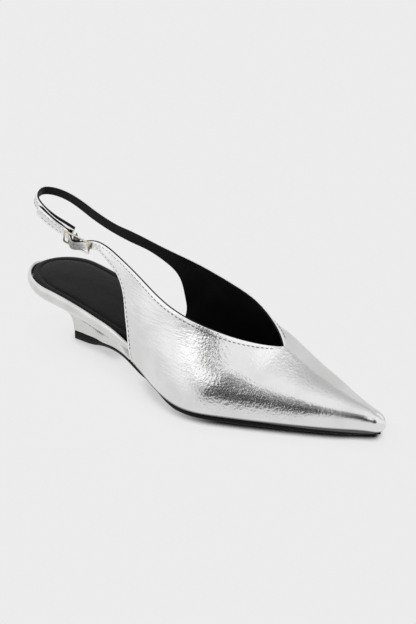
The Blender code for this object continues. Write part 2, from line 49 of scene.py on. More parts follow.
# along, outer edge, inner edge, rise of the tread as a share of HEEL_HEIGHT, thickness, and how far
# the sole lies inside the foot of the upper
OUTSOLE = (
    (0.150, -0.090, 0.155, 0.0000, 0.0060, 0.0000),
    (0.200, -0.092, 0.157, 0.0000, 0.0060, 0.0000),
    (0.225, -0.098, 0.160, 0.0300, 0.0050, 0.0000),
    (0.250, -0.125, 0.175, 0.1000, 0.0030, 0.0000),
    (0.300, -0.200, 0.212, 0.2300, 0.0022, 0.0000),
    (0.350, -0.270, 0.248, 0.2852, 0.0020, 0.0000),
    (0.400, -0.335, 0.286, 0.2528, 0.0019, -0.0002),
    (0.425, -0.368, 0.309, 0.2240, 0.0016, 0.0001),
    (0.450, -0.400, 0.335, 0.1886, 0.0013, 0.0012),
    (0.500, -0.455, 0.398, 0.0860, 0.0019, 0.0010),
    (0.550, -0.490, 0.462, 0.0000, 0.0032, 0.0005),
    (0.600, -0.490, 0.496, 0.0000, 0.0032, 0.0002),
    (0.650, -0.440, 0.490, 0.0000, 0.0032, 0.0002),
    (0.700, -0.375, 0.455, 0.0000, 0.0032, 0.0002),
    (0.750, -0.305, 0.405, 0.0000, 0.0032, 0.0002),
    (0.800, -0.232, 0.348, 0.0000, 0.0032, 0.0002),
    (0.850, -0.155, 0.285, 0.0000, 0.0032, 0.0003),
    (0.900, -0.072, 0.215, 0.0000, 0.0032, 0.0004),
    (0.950, 0.015, 0.148, 0.0000, 0.0027, 0.0006),
    (0.991, 0.075, 0.118, 0.0000, 0.0012, 0.0008),
)
OUTER_EDGE, INNER_EDGE, TREAD_RISE, THICKNESS, SOLE_INSET = range(1, 6)
HEEL_FLAT_TO = 0.200
FLAT_FROM = 0.550
FLAT_TO = 0.900
TIP_BACK = 0.154
OUTSOLE_BACK = 0.235
SOLE_TIP = 0.9895
TOE_ROUND = 0.012
TIP_ROUND = 0.006
SQUARE_END = 0.0001
# how far the outline is drawn in, share of the height
SOLE_LEVELS = (
    (0.0060, 0.00), (0.0030, 0.00), (0.0011, 0.00), (0.0006, 0.04), (0.0002, 0.13),
    (0.0000, 0.28), (0.0000, 0.80), (0.0002, 0.93), (0.0006, 1.00),
)
TIP_LEVELS = (
    (0.0025, 0.00), (0.0010, 0.00), (0.0005, 0.03), (0.0002, 0.10),
    (0.0002, 0.88), (0.0003, 0.97), (0.0007, 1.00),
)
OUTSOLE_STATIONS = 200
TIP_STATIONS = 60


def spline(knots, values, places):
    """Natural cubic spline: piecewise cubics through the rows of values, with no bend at both ends."""
    knots = np.asarray(knots, float)
    values = np.asarray(values, float).reshape(len(knots), -1)
    places = np.atleast_1d(np.asarray(places, float))
    step = np.diff(knots)
    slope = np.diff(values, axis=0) / step[:, None]
    inner = np.arange(1, len(knots) - 1)
    matrix = np.eye(len(knots))
    matrix[inner, inner - 1] = step[:-1]
    matrix[inner, inner] = 2 * (step[:-1] + step[1:])
    matrix[inner, inner + 1] = step[1:]
    bends = np.zeros_like(values)
    bends[inner] = 6 * np.diff(slope, axis=0)
    bends = np.linalg.solve(matrix, bends)
    span = np.clip(np.searchsorted(knots, places) - 1, 0, len(knots) - 2)
    after = (places - knots[span])[:, None]
    before = (knots[span + 1] - places)[:, None]
    width = step[span][:, None]
    return (
        (bends[span] * before**3 + bends[span + 1] * after**3) / (6 * width)
        + (values[span] / width - bends[span] * width / 6) * before
        + (values[span + 1] / width - bends[span + 1] * width / 6) * after
    )


def read(table, index, places):
    """A column of a table, read smoothly at places along the shoe."""
    table = np.asarray(table, float)
    places = np.asarray(places, float)
    return spline(table[:, 0], table[:, index], places.ravel())[:, 0].reshape(places.shape)


def along(share):
    """Distance along the shoe from its middle, towards the toe: (share - middle) x length."""
    return (np.asarray(share, float) - MIDDLE) * LENGTH


def across(share):
    """Distance across the shoe, towards the inner side: share x ball width."""
    return np.asarray(share, float) * BALL_WIDTH


def round_end(distance, radius):
    """Share of the full width at a distance from an end rounded with this radius: a quarter circle."""
    t = np.clip(distance / radius, 0, 1)
    return np.sqrt(1 - (1 - t) ** 2)


def underside(share):
    """Height of the tread: flat heel tip, arched waist, flat forefoot, then the toe spring squared."""
    share = np.asarray(share, float)
    arch = np.maximum(read(OUTSOLE, TREAD_RISE, share), 0) * HEEL_HEIGHT
    toe = TOE_SPRING * np.clip((share - FLAT_TO) / (1 - FLAT_TO), 0, 1) ** 2
    return np.where((share > HEEL_FLAT_TO) & (share < FLAT_FROM), arch, toe)


def sole_top(share):
    """Height of the upper face of heel tip and outsole: tread plus thickness."""
    return underside(share) + read(OUTSOLE, THICKNESS, share)


def sole_inset(share):
    """How far the outsole's edge lies inside the foot of the upper."""
    return read(OUTSOLE, SOLE_INSET, share)


def rings_of(sides):
    """Rings of points that run up the first side, level by level, and down the second."""
    return np.concatenate([sides[0], sides[1][:, ::-1]], 1)


def slab(table, ends, rounds, levels, bottom, top, stations, reach=0.0, edge_inset=np.zeros_like):
    """Rings of a slab: at each level the table's outline, drawn in, at a share of the height; levels
    of four columns also narrow it by a share and lift it."""
    progress = 0.5 - 0.5 * np.cos(np.linspace(0, np.pi, stations))
    columns = np.zeros((4, len(levels), 1))
    columns[:len(levels[0])] = np.transpose(levels)[..., None]
    inset, height, shrink, lift = columns
    drawn = (inset + shrink * reach) / LENGTH
    start = ends[0] + drawn
    end = ends[1] - drawn
    share = start + (end - start) * progress
    outer = across(read(table, OUTER_EDGE, share))
    inner = across(read(table, INNER_EDGE, share))
    half = np.maximum((inner - outer) / 2 - inset - edge_inset(share), 1e-6) * (1 - shrink)
    half = half * round_end(share - start, rounds[0]) * round_end(end - share, rounds[1])
    middle = (inner + outer) / 2
    z = bottom(share) + height * (top(share) - bottom(share)) + lift
    x = along(share)
    return rings_of([np.stack([x, middle + sign * half, z], -1).swapaxes(0, 1) for sign in (-1, 1)])


def ring_faces(count, size, closed=False):
    """Four-sided faces between neighbouring rings of points, and from the last to the first if closed."""
    ring, place = np.meshgrid(np.arange(count if closed else count - 1), np.arange(size), indexing="ij")
    here, further = ring * size, (ring + 1) % count * size
    beside = (place + 1) % size
    return np.stack([here + place, here + beside, further + beside, further + place], -1).reshape(-1, 4)


def cap_faces(size):
    """Faces that fill a ring of points whose two halves mirror each other."""
    low = np.arange(size // 2 - 1)
    return np.stack([low, low + 1, size - 2 - low, size - 1 - low], 1)


def loft(rings):
    """Points and faces of a body skinned over such rings and filled at both ends."""
    count, size = rings.shape[:2]
    cap = cap_faces(size)
    return rings.reshape(-1, 3), np.concatenate([ring_faces(count, size), cap, (count - 1) * size + cap])


def new_piece(name, points, faces, material, sharp=50, attributes=None):
    """Mesh object at the origin: points and faces put in, seams merged, faces turned outwards."""
    mesh = bpy.data.meshes.new(name)
    mesh.from_pydata(np.asarray(points).tolist(), [], np.asarray(faces).tolist())
    for label, values in (attributes or {}).items():
        layer = mesh.attributes.new(label, "FLOAT", "POINT")
        layer.data.foreach_set("value", np.asarray(values, np.float32).ravel())
    body = bmesh.new()
    body.from_mesh(mesh)
    bmesh.ops.remove_doubles(body, verts=body.verts, dist=1e-6)
    bmesh.ops.dissolve_degenerate(body, edges=body.edges, dist=1e-7)
    bmesh.ops.recalc_face_normals(body, faces=body.faces)
    body.to_mesh(mesh)
    body.free()
    mesh.shade_smooth()
    mesh.set_sharp_from_angle(angle=np.radians(sharp))
    mesh.materials.append(material)
    piece = bpy.data.objects.new(name, mesh)
    bpy.context.scene.collection.objects.link(piece)
    return piece


class Wire:
    """An output socket of a node; arithmetic on wires adds Math nodes to the same tree."""

    def __init__(self, tree, socket=None):
        self.tree = tree
        self.socket = socket

    def node(self, kind, settings, sockets, out=0):
        """Add a node of this kind, set it up, feed its sockets with wires or values, give one output."""
        made = self.tree.nodes.new("ShaderNode" + kind)
        for name, value in settings.items():
            setattr(made, name, value)
        for name, value in sockets.items():
            if isinstance(value, Wire):
                self.tree.links.new(value.socket, made.inputs[name])
            else:
                made.inputs[name].default_value = value
        return Wire(self.tree, made.outputs[out])

    def math(self, operation, first, second=0.0):
        """A Math node on two wires or numbers."""
        return self.node("Math", {"operation": operation}, {0: first, 1: second})

    def __add__(self, other):
        return self.math("ADD", self, other)

    def __sub__(self, other):
        return self.math("SUBTRACT", self, other)

    def __rsub__(self, other):
        return self.math("SUBTRACT", other, self)

    def __mul__(self, other):
        return self.math("MULTIPLY", self, other)

    def __truediv__(self, other):
        return self.math("DIVIDE", self, other)

    def __rtruediv__(self, other):
        return self.math("DIVIDE", other, self)

    def __pow__(self, other):
        return self.math("POWER", self, other)

    __radd__ = __add__
    __rmul__ = __mul__

    def ramp(self, low, high):
        """0 below low, 1 above high, smooth between."""
        settings = {"interpolation_type": "SMOOTHSTEP"}
        return self.node("MapRange", settings, {"Value": self, "From Min": low, "From Max": high})

    def blend(self, first, second):
        """Colour that goes from first to second as this wire goes from 0 to 1."""
        return self.node("Mix", {"data_type": "RGBA"}, {0: self, 6: first, 7: second}, out=2)


class Finish:
    """A material: its Principled shader with constant sockets, and its Object coordinates."""

    def __init__(self, name, **constants):
        self.material = bpy.data.materials.new(name)
        self.material.use_nodes = True
        self.tree = self.material.node_tree
        self.shader = self.tree.nodes["Principled BSDF"]
        for label, value in constants.items():
            self.shader.inputs[label.replace("_", " ")].default_value = value
        self.start = Wire(self.tree)
        self.place = self.start.node("TexCoord", {}, {}, out="Object")

    def feed(self, label, wire):
        """Link a wire to one of the shader's sockets."""
        self.tree.links.new(wire.socket, self.shader.inputs[label])

    def noise(self, scale, detail=2.0, place=None, roughness=0.5):
        """Noise from 0 to 1 with so many grains per metre."""
        sockets = {"Vector": place or self.place, "Scale": scale, "Detail": detail, "Roughness": roughness}
        return self.start.node("TexNoise", {}, sockets, out=0)

    def cells(self, scale):
        """Distance to the middle of rounded cells, so many per metre."""
        return self.start.node("TexVoronoi", {}, {"Vector": self.place, "Scale": scale}, out="Distance")

    def attribute(self, label):
        """A number kept on the piece's points."""
        return self.start.node("Attribute", {"attribute_name": label}, {}, out="Fac")

    def stretched(self, scale):
        """Object coordinates stretched by three factors."""
        return self.start.node("VectorMath", {"operation": "MULTIPLY"}, {0: self.place, 1: scale})

    def relief(self, height, distance, under=None):
        """Bump of this height in metres, on top of another bump if one is given."""
        sockets = {"Height": height, "Distance": distance, "Strength": 1.0}
        if under is not None:
            sockets["Normal"] = under
        return self.start.node("Bump", {}, sockets)


# grains per metre of wear and grit, height of the grit
SOLE_WEAR = 90
SOLE_GRIT, SOLE_GRIT_HEIGHT = 2600, 0.00005
BLACK_SOLE = (0.006, 0.006, 0.006, 1)
WORN_SOLE = (0.013, 0.0125, 0.0125, 1)
sole_finish = Finish("black_sole_sheet", Metallic=0.0, Specular_IOR_Level=0.12)
sole_wear = sole_finish.noise(SOLE_WEAR, 4).ramp(0.45, 0.75)
sole_grit = sole_finish.noise(SOLE_GRIT, 3)
sole_finish.feed("Base Color", sole_wear.blend(BLACK_SOLE, WORN_SOLE))
sole_finish.feed("Roughness", 0.46 + 0.16 * sole_wear + 0.08 * sole_grit)
sole_finish.feed("Normal", sole_finish.relief(sole_grit, SOLE_GRIT_HEIGHT))

outsole_rings = slab(OUTSOLE, (OUTSOLE_BACK, SOLE_TIP), (SQUARE_END, TOE_ROUND), SOLE_LEVELS,
                     underside, sole_top, OUTSOLE_STATIONS, edge_inset=sole_inset)
outsole = new_piece("outsole_sheet", *loft(outsole_rings), sole_finish.material)
tip_rings = slab(OUTSOLE, (TIP_BACK, OUTSOLE_BACK - GAP / LENGTH), (TIP_ROUND, SQUARE_END), TIP_LEVELS,
                 underside, sole_top, TIP_STATIONS)
heel_tip = new_piece("heel_top_piece", *loft(tip_rings), sole_finish.material)
for piece, node, slot in ((outsole, "outsole", "black_outsole"), (heel_tip, "heel_tip", "black_tip")):
    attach(piece, "root")
    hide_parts(node)


# Wedge. A light block, hollowed at the back and sides and wrapped in the same silver foil leather
# as the upper; it stands on the top piece and carries the seat.
# along, outer edge, inner edge, top of the sock as a share of HEEL_HEIGHT, depth of the rim
SEAT = (
    (0.000, -0.240, 0.395, 1.020, 0.0095),
    (0.100, -0.255, 0.408, 0.990, 0.0095),
    (0.200, -0.278, 0.385, 0.925, 0.0092),
    (0.300, -0.310, 0.338, 0.815, 0.0086),
    (0.380, -0.309, 0.282, 0.670, 0.0090),
    (0.450, -0.325, 0.280, 0.500, 0.0080),
    (0.500, -0.380, 0.340, 0.380, 0.0065),
    (0.550, -0.430, 0.410, 0.265, 0.0045),
    (0.600, -0.440, 0.445, 0.195, 0.0030),
    (0.650, -0.400, 0.450, 0.155, 0.0030),
    (0.750, -0.265, 0.365, 0.150, 0.0030),
    (0.850, -0.115, 0.245, 0.150, 0.0030),
    (0.950, 0.045, 0.125, 0.165, 0.0030),
    (1.000, 0.080, 0.110, 0.200, 0.0030),
)
SOCK_RISE, RIM_DEPTH = 3, 4
SOCK_THICKNESS = 0.0022
WEDGE_TOP_BACK = 0.146
WEDGE_FRONT = 0.379
WEDGE_RUNOUT = (0.375, 0.410)
WEDGE_INSET_LOW = 0.0004
WEDGE_INSET_HIGH = 0.0070
WEDGE_HOLLOW = 2.6
WEDGE_CORNER = 0.0016
WEDGE_CROWDING = 1.5
WEDGE_STATIONS = 90
WEDGE_LEVELS = 34


def ease(value, start, end):
    """Smooth step from 0 at start to 1 at end: 3t^2 - 2t^3."""
    t = np.clip((np.asarray(value, float) - start) / (end - start), 0, 1)
    return t * t * (3 - 2 * t)


def sock_top(share):
    """Height of the sock that the foot stands on: its column x heel height."""
    return read(SEAT, SOCK_RISE, share) * HEEL_HEIGHT


def sock_bottom(share):
    """Underside of the sock: its top less its thickness."""
    return sock_top(share) - SOCK_THICKNESS


def footbed_top(share):
    """Height of the footbed under the sock."""
    return sock_bottom(share) - GAP


def footbed_bottom(share):
    """Underside of the footbed: the rim's depth at the seat, eased down to the outsole at the waist."""
    rim = footbed_top(share) - read(SEAT, RIM_DEPTH, share)
    floor = sole_top(share) + GAP
    ahead = ease(share, *WEDGE_RUNOUT)
    return np.maximum(rim * (1 - ahead) + floor * ahead, floor)


def wedge_rings():
    """Rings of the wedge: at each level the tip's outline below flares to the seat's outline above by
    the level to a power; the upright back corners are quarter circles, with stations crowded there."""
    progress = np.linspace(0, 1, WEDGE_STATIONS)[:, None] ** WEDGE_CROWDING
    level = np.linspace(0, 1, WEDGE_LEVELS)[None, :]
    flare = level**WEDGE_HOLLOW
    low = TIP_BACK + (WEDGE_FRONT - TIP_BACK) * progress
    high = WEDGE_TOP_BACK + (WEDGE_FRONT - WEDGE_TOP_BACK) * progress
    share = low + (high - low) * flare
    z_low = sole_top(low) + GAP
    z = z_low + (footbed_bottom(high) - GAP - z_low) * level
    corner = WEDGE_CORNER * (1 - round_end(progress * (WEDGE_FRONT - TIP_BACK) * LENGTH, WEDGE_CORNER))
    sides = []
    for side, inwards in ((OUTER_EDGE, 1), (INNER_EDGE, -1)):
        y_low = across(read(OUTSOLE, side, low)) + inwards * WEDGE_INSET_LOW
        y_high = across(read(SEAT, side, high)) + inwards * WEDGE_INSET_HIGH
        sides.append(np.stack([along(share), y_low + (y_high - y_low) * flare + inwards * corner, z], -1))
    return rings_of(sides)


# Foil leather: grains per metre, their height in metres, and how the long ones are stretched.
CLOUD_GRAIN = 55
WRINKLE_GRAIN, WRINKLE_HEIGHT, WRINKLE_STRETCH = 240, 0.00040, (0.5, 1.0, 2.4)
CRUMPLE_GRAIN, CRUMPLE_HEIGHT, CRUMPLE_STRETCH = 300, 0.00012, (0.8, 1.0, 1.3)
PEBBLE_GRAIN, PEBBLE_HEIGHT = 640, 0.00019
TOOTH_GRAIN, TOOTH_HEIGHT = 3400, 0.000006


def silver_foil(name, bright, dull, pebble, wrinkle):
    """Mirror foil on leather: a bright metal with soft cloudy dulling, pebbles one to two millimetres
    wide, fine wrinkles that run along the shoe, and a fine tooth. The amount of pebbles and wrinkles
    is a number or the name of an attribute. Gives the finish, its colour and its relief, so that a
    piece can add to them."""
    finish = Finish(name, Metallic=1.0, Specular_IOR_Level=0.5)
    pebble, wrinkle = (
        finish.attribute(amount) if isinstance(amount, str) else amount for amount in (pebble, wrinkle)
    )
    cloud = finish.noise(CLOUD_GRAIN, 3)
    tooth = finish.noise(TOOTH_GRAIN, 2)
    pebbles = finish.noise(PEBBLE_GRAIN, 2)
    crumple = finish.noise(CRUMPLE_GRAIN, 3, finish.stretched(CRUMPLE_STRETCH), roughness=0.6)
    wrinkles = finish.noise(WRINKLE_GRAIN, 3, finish.stretched(WRINKLE_STRETCH), roughness=0.55)
    colour = cloud.ramp(0.35, 0.70).blend(bright, dull)
    finish.feed("Base Color", colour)
    finish.feed("Roughness", 0.125 + 0.09 * cloud + 0.05 * tooth)
    wrinkled = finish.relief(wrinkles * wrinkle, WRINKLE_HEIGHT)
    crumpled = finish.relief(crumple * pebble, CRUMPLE_HEIGHT, wrinkled)
    pebbled = finish.relief(pebbles * pebble, PEBBLE_HEIGHT, crumpled)
    toothed = finish.relief(tooth, TOOTH_HEIGHT, pebbled)
    finish.feed("Normal", toothed)
    return finish, colour, toothed


WEDGE_BRIGHT = (0.72, 0.73, 0.70, 1)
WEDGE_DULL = (0.64, 0.65, 0.62, 1)
wedge_finish = silver_foil("silver_foil_wedge", WEDGE_BRIGHT, WEDGE_DULL, pebble=0.35, wrinkle=0.3)[0]
wedge = new_piece("wedge_cover", *loft(wedge_rings()), wedge_finish.material)
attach(wedge, "root")
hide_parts("wedge_heel")


# Seat rim. The insole board is wrapped in silver foil leather, so its edge shows as a soft rounded
# band that stands up a little beside the sock, most on the outer side; ahead of the wedge it runs
# on inside the upper.
SEAT_BACK = 0.004
SEAT_ROUND = 0.105
FOOTBED_END = 0.605
FOOTBED_ROUND = 0.02
FOOTBED_STATIONS = 170
RIM_STEPS = 45
# the bead runs out along the shoe between two shares, and across it loses a share of its height
RIM_BEAD_FADE = (0.30, 0.39)
RIM_INNER_FADE = (0.000, 0.016)
RIM_INNER_LOSS = 0.85
# how far the outline is drawn in, share of the height, height of the bead
RIM_PROFILE = (
    (0.0120, 0.00, 0.0000), (0.0075, 0.05, 0.0000), (0.0042, 0.20, 0.0000), (0.0018, 0.42, 0.0000),
    (0.0005, 0.65, 0.0000), (0.0000, 0.84, 0.0000), (0.0001, 0.97, 0.0012), (0.0006, 1.00, 0.0028),
    (0.0014, 1.00, 0.0035), (0.0022, 1.00, 0.0029), (0.0027, 1.00, 0.0012), (0.0028, 1.00, 0.0000),
)


def resampled(rows, count):
    """So many rows, read evenly along the smooth curve through the given ones."""
    return spline(np.arange(len(rows)), rows, np.linspace(0, len(rows) - 1, count))


rim_profile = resampled(RIM_PROFILE, RIM_STEPS)
rim_profile[:, 1] = np.clip(rim_profile[:, 1], 0, 1)
rim_rings = slab(SEAT, (SEAT_BACK, FOOTBED_END), (SEAT_ROUND, FOOTBED_ROUND), rim_profile[:, :2],
                 footbed_bottom, footbed_top, FOOTBED_STATIONS)
rim_bead = np.concatenate([rim_profile[:, 2], rim_profile[::-1, 2]])
rim_bead = rim_bead * (1 - ease(rim_rings[..., 0] / LENGTH + MIDDLE, *RIM_BEAD_FADE))
rim_rings[..., 2] += rim_bead * (1 - RIM_INNER_LOSS * ease(rim_rings[..., 1], *RIM_INNER_FADE))
RIM_BRIGHT = (0.76, 0.765, 0.75, 1)
RIM_DULL = (0.68, 0.685, 0.67, 1)
rim_finish = silver_foil("silver_foil_rim", RIM_BRIGHT, RIM_DULL, pebble=0.25, wrinkle=0.25)[0]
rim = new_piece("seat_rim", *loft(rim_rings), rim_finish.material)
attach(rim, "root")
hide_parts("footbed")


# Sock. A thin black leather sheet over soft foam, laid on the seat and along the inside; a line is
# pressed in all round near its edge, and the foam crowns it a little.
SOCK_END = 0.962
SOCK_TOE_ROUND = 0.03
SOCK_STATIONS = 220
SOCK_REACH = 0.024
# how far the outline is drawn in, share of the height, share of the half width drawn in, lift
SOCK_LEVELS = (
    (0.0040, 0.00, 0.00, 0.0000), (0.0033, 0.12, 0.00, 0.0000), (0.0030, 0.35, 0.00, 0.0000),
    (0.0030, 0.62, 0.00, 0.0000), (0.0032, 0.80, 0.00, 0.0000), (0.0037, 0.93, 0.00, 0.0000),
    (0.0045, 1.00, 0.00, 0.0000), (0.0056, 1.00, 0.00, 0.0001), (0.0064, 1.00, 0.00, 0.0000),
    (0.0068, 1.00, 0.00, -0.0003), (0.0072, 1.00, 0.00, -0.0005), (0.0076, 1.00, 0.00, -0.0003),
    (0.0080, 1.00, 0.00, 0.0001), (0.0080, 1.00, 0.08, 0.0003), (0.0080, 1.00, 0.20, 0.0005),
    (0.0080, 1.00, 0.36, 0.0006), (0.0080, 1.00, 0.55, 0.0007), (0.0080, 1.00, 0.75, 0.0008),
    (0.0080, 1.00, 0.92, 0.0008),
)

sock_rings = slab(SEAT, (SEAT_BACK, SOCK_END), (SEAT_ROUND, SOCK_TOE_ROUND), SOCK_LEVELS,
                  sock_bottom, sock_top, SOCK_STATIONS, SOCK_REACH)
# grains per metre of rubbing, leather grain and dents, and their heights
SOCK_RUB = 45
SOCK_GRAIN, SOCK_GRAIN_HEIGHT = 1500, 0.00005
SOCK_DENTS, SOCK_DENT_DEPTH = 120, 0.00020
BLACK_SOCK = (0.006, 0.006, 0.0065, 1)
RUBBED_SOCK = (0.013, 0.013, 0.0135, 1)
sock_finish = Finish("black_sock_leather", Metallic=0.0, Specular_IOR_Level=0.095)
sock_rub = sock_finish.noise(SOCK_RUB, 3).ramp(0.40, 0.80)
sock_grain = sock_finish.cells(SOCK_GRAIN)
sock_dents = sock_finish.relief(sock_finish.noise(SOCK_DENTS, 2), SOCK_DENT_DEPTH)
sock_finish.feed("Base Color", sock_rub.blend(BLACK_SOCK, RUBBED_SOCK))
sock_finish.feed("Roughness", 0.40 + 0.12 * sock_rub)
sock_finish.feed("Normal", sock_finish.relief(sock_grain, SOCK_GRAIN_HEIGHT, sock_dents))
sock = new_piece("sock", *loft(sock_rings), sock_finish.material)
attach(sock, "root")
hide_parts("insole")


# Upper. Vamp, quarters, heel sling and buckled strap are one soft silver foil leather, lasted over
# the sole's edge; its sections run from the foot on the sole to the top edge, toe to strap end.
INSTEP_HEIGHT = 0.039
FOOT_TIP = 0.9905
# foot of the section, ridge, across, ridge height, toe roundness, side lean, facet slope, facet reach
VAMP = (
    (0.9905, 0.983, 0.100, 0.350, 0.0050, 12, 18, 0.45),
    (0.9840, 0.974, 0.100, 0.400, 0.0042, 12, 14, 0.48),
    (0.9680, 0.958, 0.100, 0.440, 0.0022, 11, 9, 0.54),
    (0.9430, 0.938, 0.100, 0.475, 0.0006, 10, 5, 0.60),
    (0.9050, 0.905, 0.100, 0.535, 0.0000, 9, 3, 0.64),
    (0.8550, 0.857, 0.100, 0.635, 0.0000, 9, 3, 0.64),
    (0.7950, 0.798, 0.099, 0.775, 0.0000, 8, 5, 0.575),
    (0.7250, 0.731, 0.097, 1.008, 0.0000, 9, 12, 0.505),
)
FOOT_HANDLE = 0.50
TOP_HANDLE = 0.42
# foot, top, across, height, side lean, top lean
OUTER_QUARTER = (
    (0.690, 0.7075, -0.002, 1.080, 8, 73),
    (0.648, 0.6820, -0.100, 1.170, 6, 57),
    (0.604, 0.6550, -0.186, 1.266, 6, 40),
    (0.555, 0.6250, -0.257, 1.362, 8, 30),
    (0.503, 0.5900, -0.310, 1.451, 13, 21),
    (0.450, 0.5560, -0.335, 1.519, 17, 15),
    (0.408, 0.5300, -0.341, 1.569, 16, 12),
    (0.388, 0.5150, -0.341, 1.599, 16, 11),
)
INNER_QUARTER = (
    (0.690, 0.7075, 0.171, 1.080, 8, 73),
    (0.650, 0.6820, 0.233, 1.147, 6, 57),
    (0.610, 0.6550, 0.281, 1.219, 6, 40),
    (0.562, 0.6250, 0.319, 1.295, 8, 30),
    (0.512, 0.5920, 0.342, 1.372, 11, 21),
    (0.465, 0.5600, 0.346, 1.442, 12, 15),
    (0.425, 0.5360, 0.342, 1.494, 11, 12),
    (0.406, 0.5220, 0.339, 1.525, 10, 11),
)
# low along, low across, low height, top along, top across, top height, side lean, top lean
OUTER_BACK_EDGE = (
    (0.3857, -0.350, 0.627, 0.4960, -0.337, 1.640, 10, 10),
    (0.3802, -0.340, 0.894, 0.4700, -0.324, 1.700, 6, 9),
    (0.3710, -0.318, 1.150, 0.4380, -0.299, 1.775, 3, 8),
    (0.3560, -0.272, 1.431, 0.3980, -0.263, 1.867, 0, 7),
    (0.3325, -0.231, 1.675, 0.3520, -0.216, 1.944, -1, 5),
    (0.3040, -0.196, 1.790, 0.3080, -0.177, 2.014, -1, 3),
    (0.2760, -0.172, 1.885, 0.2740, -0.155, 2.060, 0, 0),
)
INNER_BACK_EDGE = (
    (0.4105, 0.312, 0.648, 0.5040, 0.332, 1.566, 8, 10),
    (0.4110, 0.307, 0.944, 0.4780, 0.318, 1.629, 4, 9),
    (0.4050, 0.288, 1.259, 0.4460, 0.295, 1.708, 2, 8),
    (0.3890, 0.267, 1.482, 0.4060, 0.262, 1.797, 0, 7),
    (0.3555, 0.237, 1.656, 0.3600, 0.226, 1.895, -1, 5),
    (0.3200, 0.213, 1.767, 0.3140, 0.202, 1.986, -1, 3),
    (0.2810, 0.202, 1.817, 0.2724, 0.197, 2.034, 0, 0),
)
SLING_RISE = 0.40
SLING_FOOT = (0.2320, 2.044)
# along, across, width, lift off the sling's plane
SLING = (
    (0.2320, 0.200, 0.0071, 0.0007),
    (0.2060, 0.198, 0.0069, -0.0003),
    (0.1675, 0.192, 0.0068, -0.0006),
    (0.1290, 0.184, 0.0064, -0.0003),
    (0.0960, 0.158, 0.0061, 0.0000),
    (0.0660, 0.100, 0.0062, 0.0000),
    (0.0520, 0.028, 0.0066, 0.0000),
    (0.0545, -0.050, 0.0070, 0.0000),
    (0.0690, -0.122, 0.0070, 0.0000),
    (0.0990, -0.162, 0.0070, 0.0000),
    (0.1330, -0.168, 0.0068, 0.0000),
    (0.1630, -0.152, 0.0064, 0.0000),
    (0.1850, -0.141, 0.0060, 0.0000),
)
# along, across, height, width, tilt in degrees
BUCKLED_STRAP = (
    (0.2540, -0.158, 2.080, 0.0058, 0),
    (0.2380, -0.166, 2.066, 0.0058, 2),
    (0.2230, -0.197, 2.046, 0.0058, 5),
    (0.2040, -0.243, 2.058, 0.0058, 8),
    (0.1840, -0.201, 2.094, 0.0060, 9),
    (0.1690, -0.167, 2.130, 0.0062, 12),
    (0.1450, -0.187, 2.232, 0.0068, 19),
    (0.1250, -0.198, 2.318, 0.0072, 22),
    (0.1080, -0.196, 2.374, 0.0072, 22),
    (0.0910, -0.187, 2.420, 0.0072, 22),
)
# stations along the vamp's ridge, quarter, back edge and strap; levels up the wall, steps round an edge
RIDGE_STATIONS = 110
OUTER_STATIONS = (RIDGE_STATIONS, 100, 60, 150)
INNER_STATIONS = (RIDGE_STATIONS, 100, 60, 210)
WALL_LEVELS = 40
EDGE_STEPS = 4
LEATHER = 0.0010
LEATHER_SHARP = 60
WALL = 0.0018
TOE_BLOCK = 0.286
TOE_LINING_ROUND = 0.0010
THROAT_FADE = 0.004
CORNER_FADE = 0.002
FOOT_FULLNESS = 0.35
# Soft troughs, and ridges of negative depth, in the leather: side (-1 outer, 1 inner), two ends as
# share along and share of INSTEP_HEIGHT, half width, depth.
CREASES = (
    (-1, 0.605, 1.300, 0.655, 1.180, 0.0020, 0.00022),
    (-1, 0.540, 1.530, 0.630, 1.380, 0.0090, 0.00110),
    (-1, 0.600, 1.750, 0.622, 1.020, 0.0100, -0.00080),
    (-1, 0.585, 0.900, 0.710, 0.840, 0.0060, -0.00060),
    (-1, 0.700, 0.960, 0.728, 0.860, 0.0022, 0.00014),
    (-1, 0.735, 0.900, 0.762, 0.790, 0.0022, 0.00012),
    (-1, 0.770, 0.820, 0.800, 0.700, 0.0022, 0.00010),
    (-1, 0.400, 1.330, 0.500, 1.270, 0.0022, 0.00010),
    (-1, 0.420, 1.180, 0.530, 1.140, 0.0024, 0.00010),
    (-1, 0.430, 0.960, 0.520, 0.980, 0.0026, 0.00010),
    (1, 0.600, 1.250, 0.655, 1.120, 0.0020, 0.00026),
    (1, 0.630, 1.020, 0.670, 0.910, 0.0012, 0.00016),
    (1, 0.705, 0.940, 0.735, 0.850, 0.0022, 0.00014),
    (1, 0.740, 0.890, 0.768, 0.780, 0.0022, 0.00012),
    (1, 0.430, 1.250, 0.520, 1.200, 0.0024, 0.00010),
    (1, 0.440, 1.060, 0.540, 1.040, 0.0026, 0.00010),
)
CREASE_ENDS = (-0.25, 0.35)
CREASE_CLEAR_LOW = 0.10
CREASE_CLEAR_TOP = 0.06
# How strong the pebbles and the wrinkles are: share along, amount. The pebbles are drawn together
# below the top edge where the foot bends it: added share, heights, place along and its spread.
PEBBLE = ((0.28, 0.3), (0.42, 0.5), (0.50, 0.6), (0.58, 1.0), (0.78, 1.0), (0.92, 0.25))
WRINKLE = ((0.28, 0.4), (0.40, 1.0), (0.54, 0.9), (0.60, 0.25), (0.80, 0.25), (0.90, 0.15))
GRAIN_UNDER_TOPLINE = 1.6
GRAIN_HEIGHT = (0.030, 0.040)
GRAIN_SHARE = 0.62
GRAIN_SPREAD = 0.035
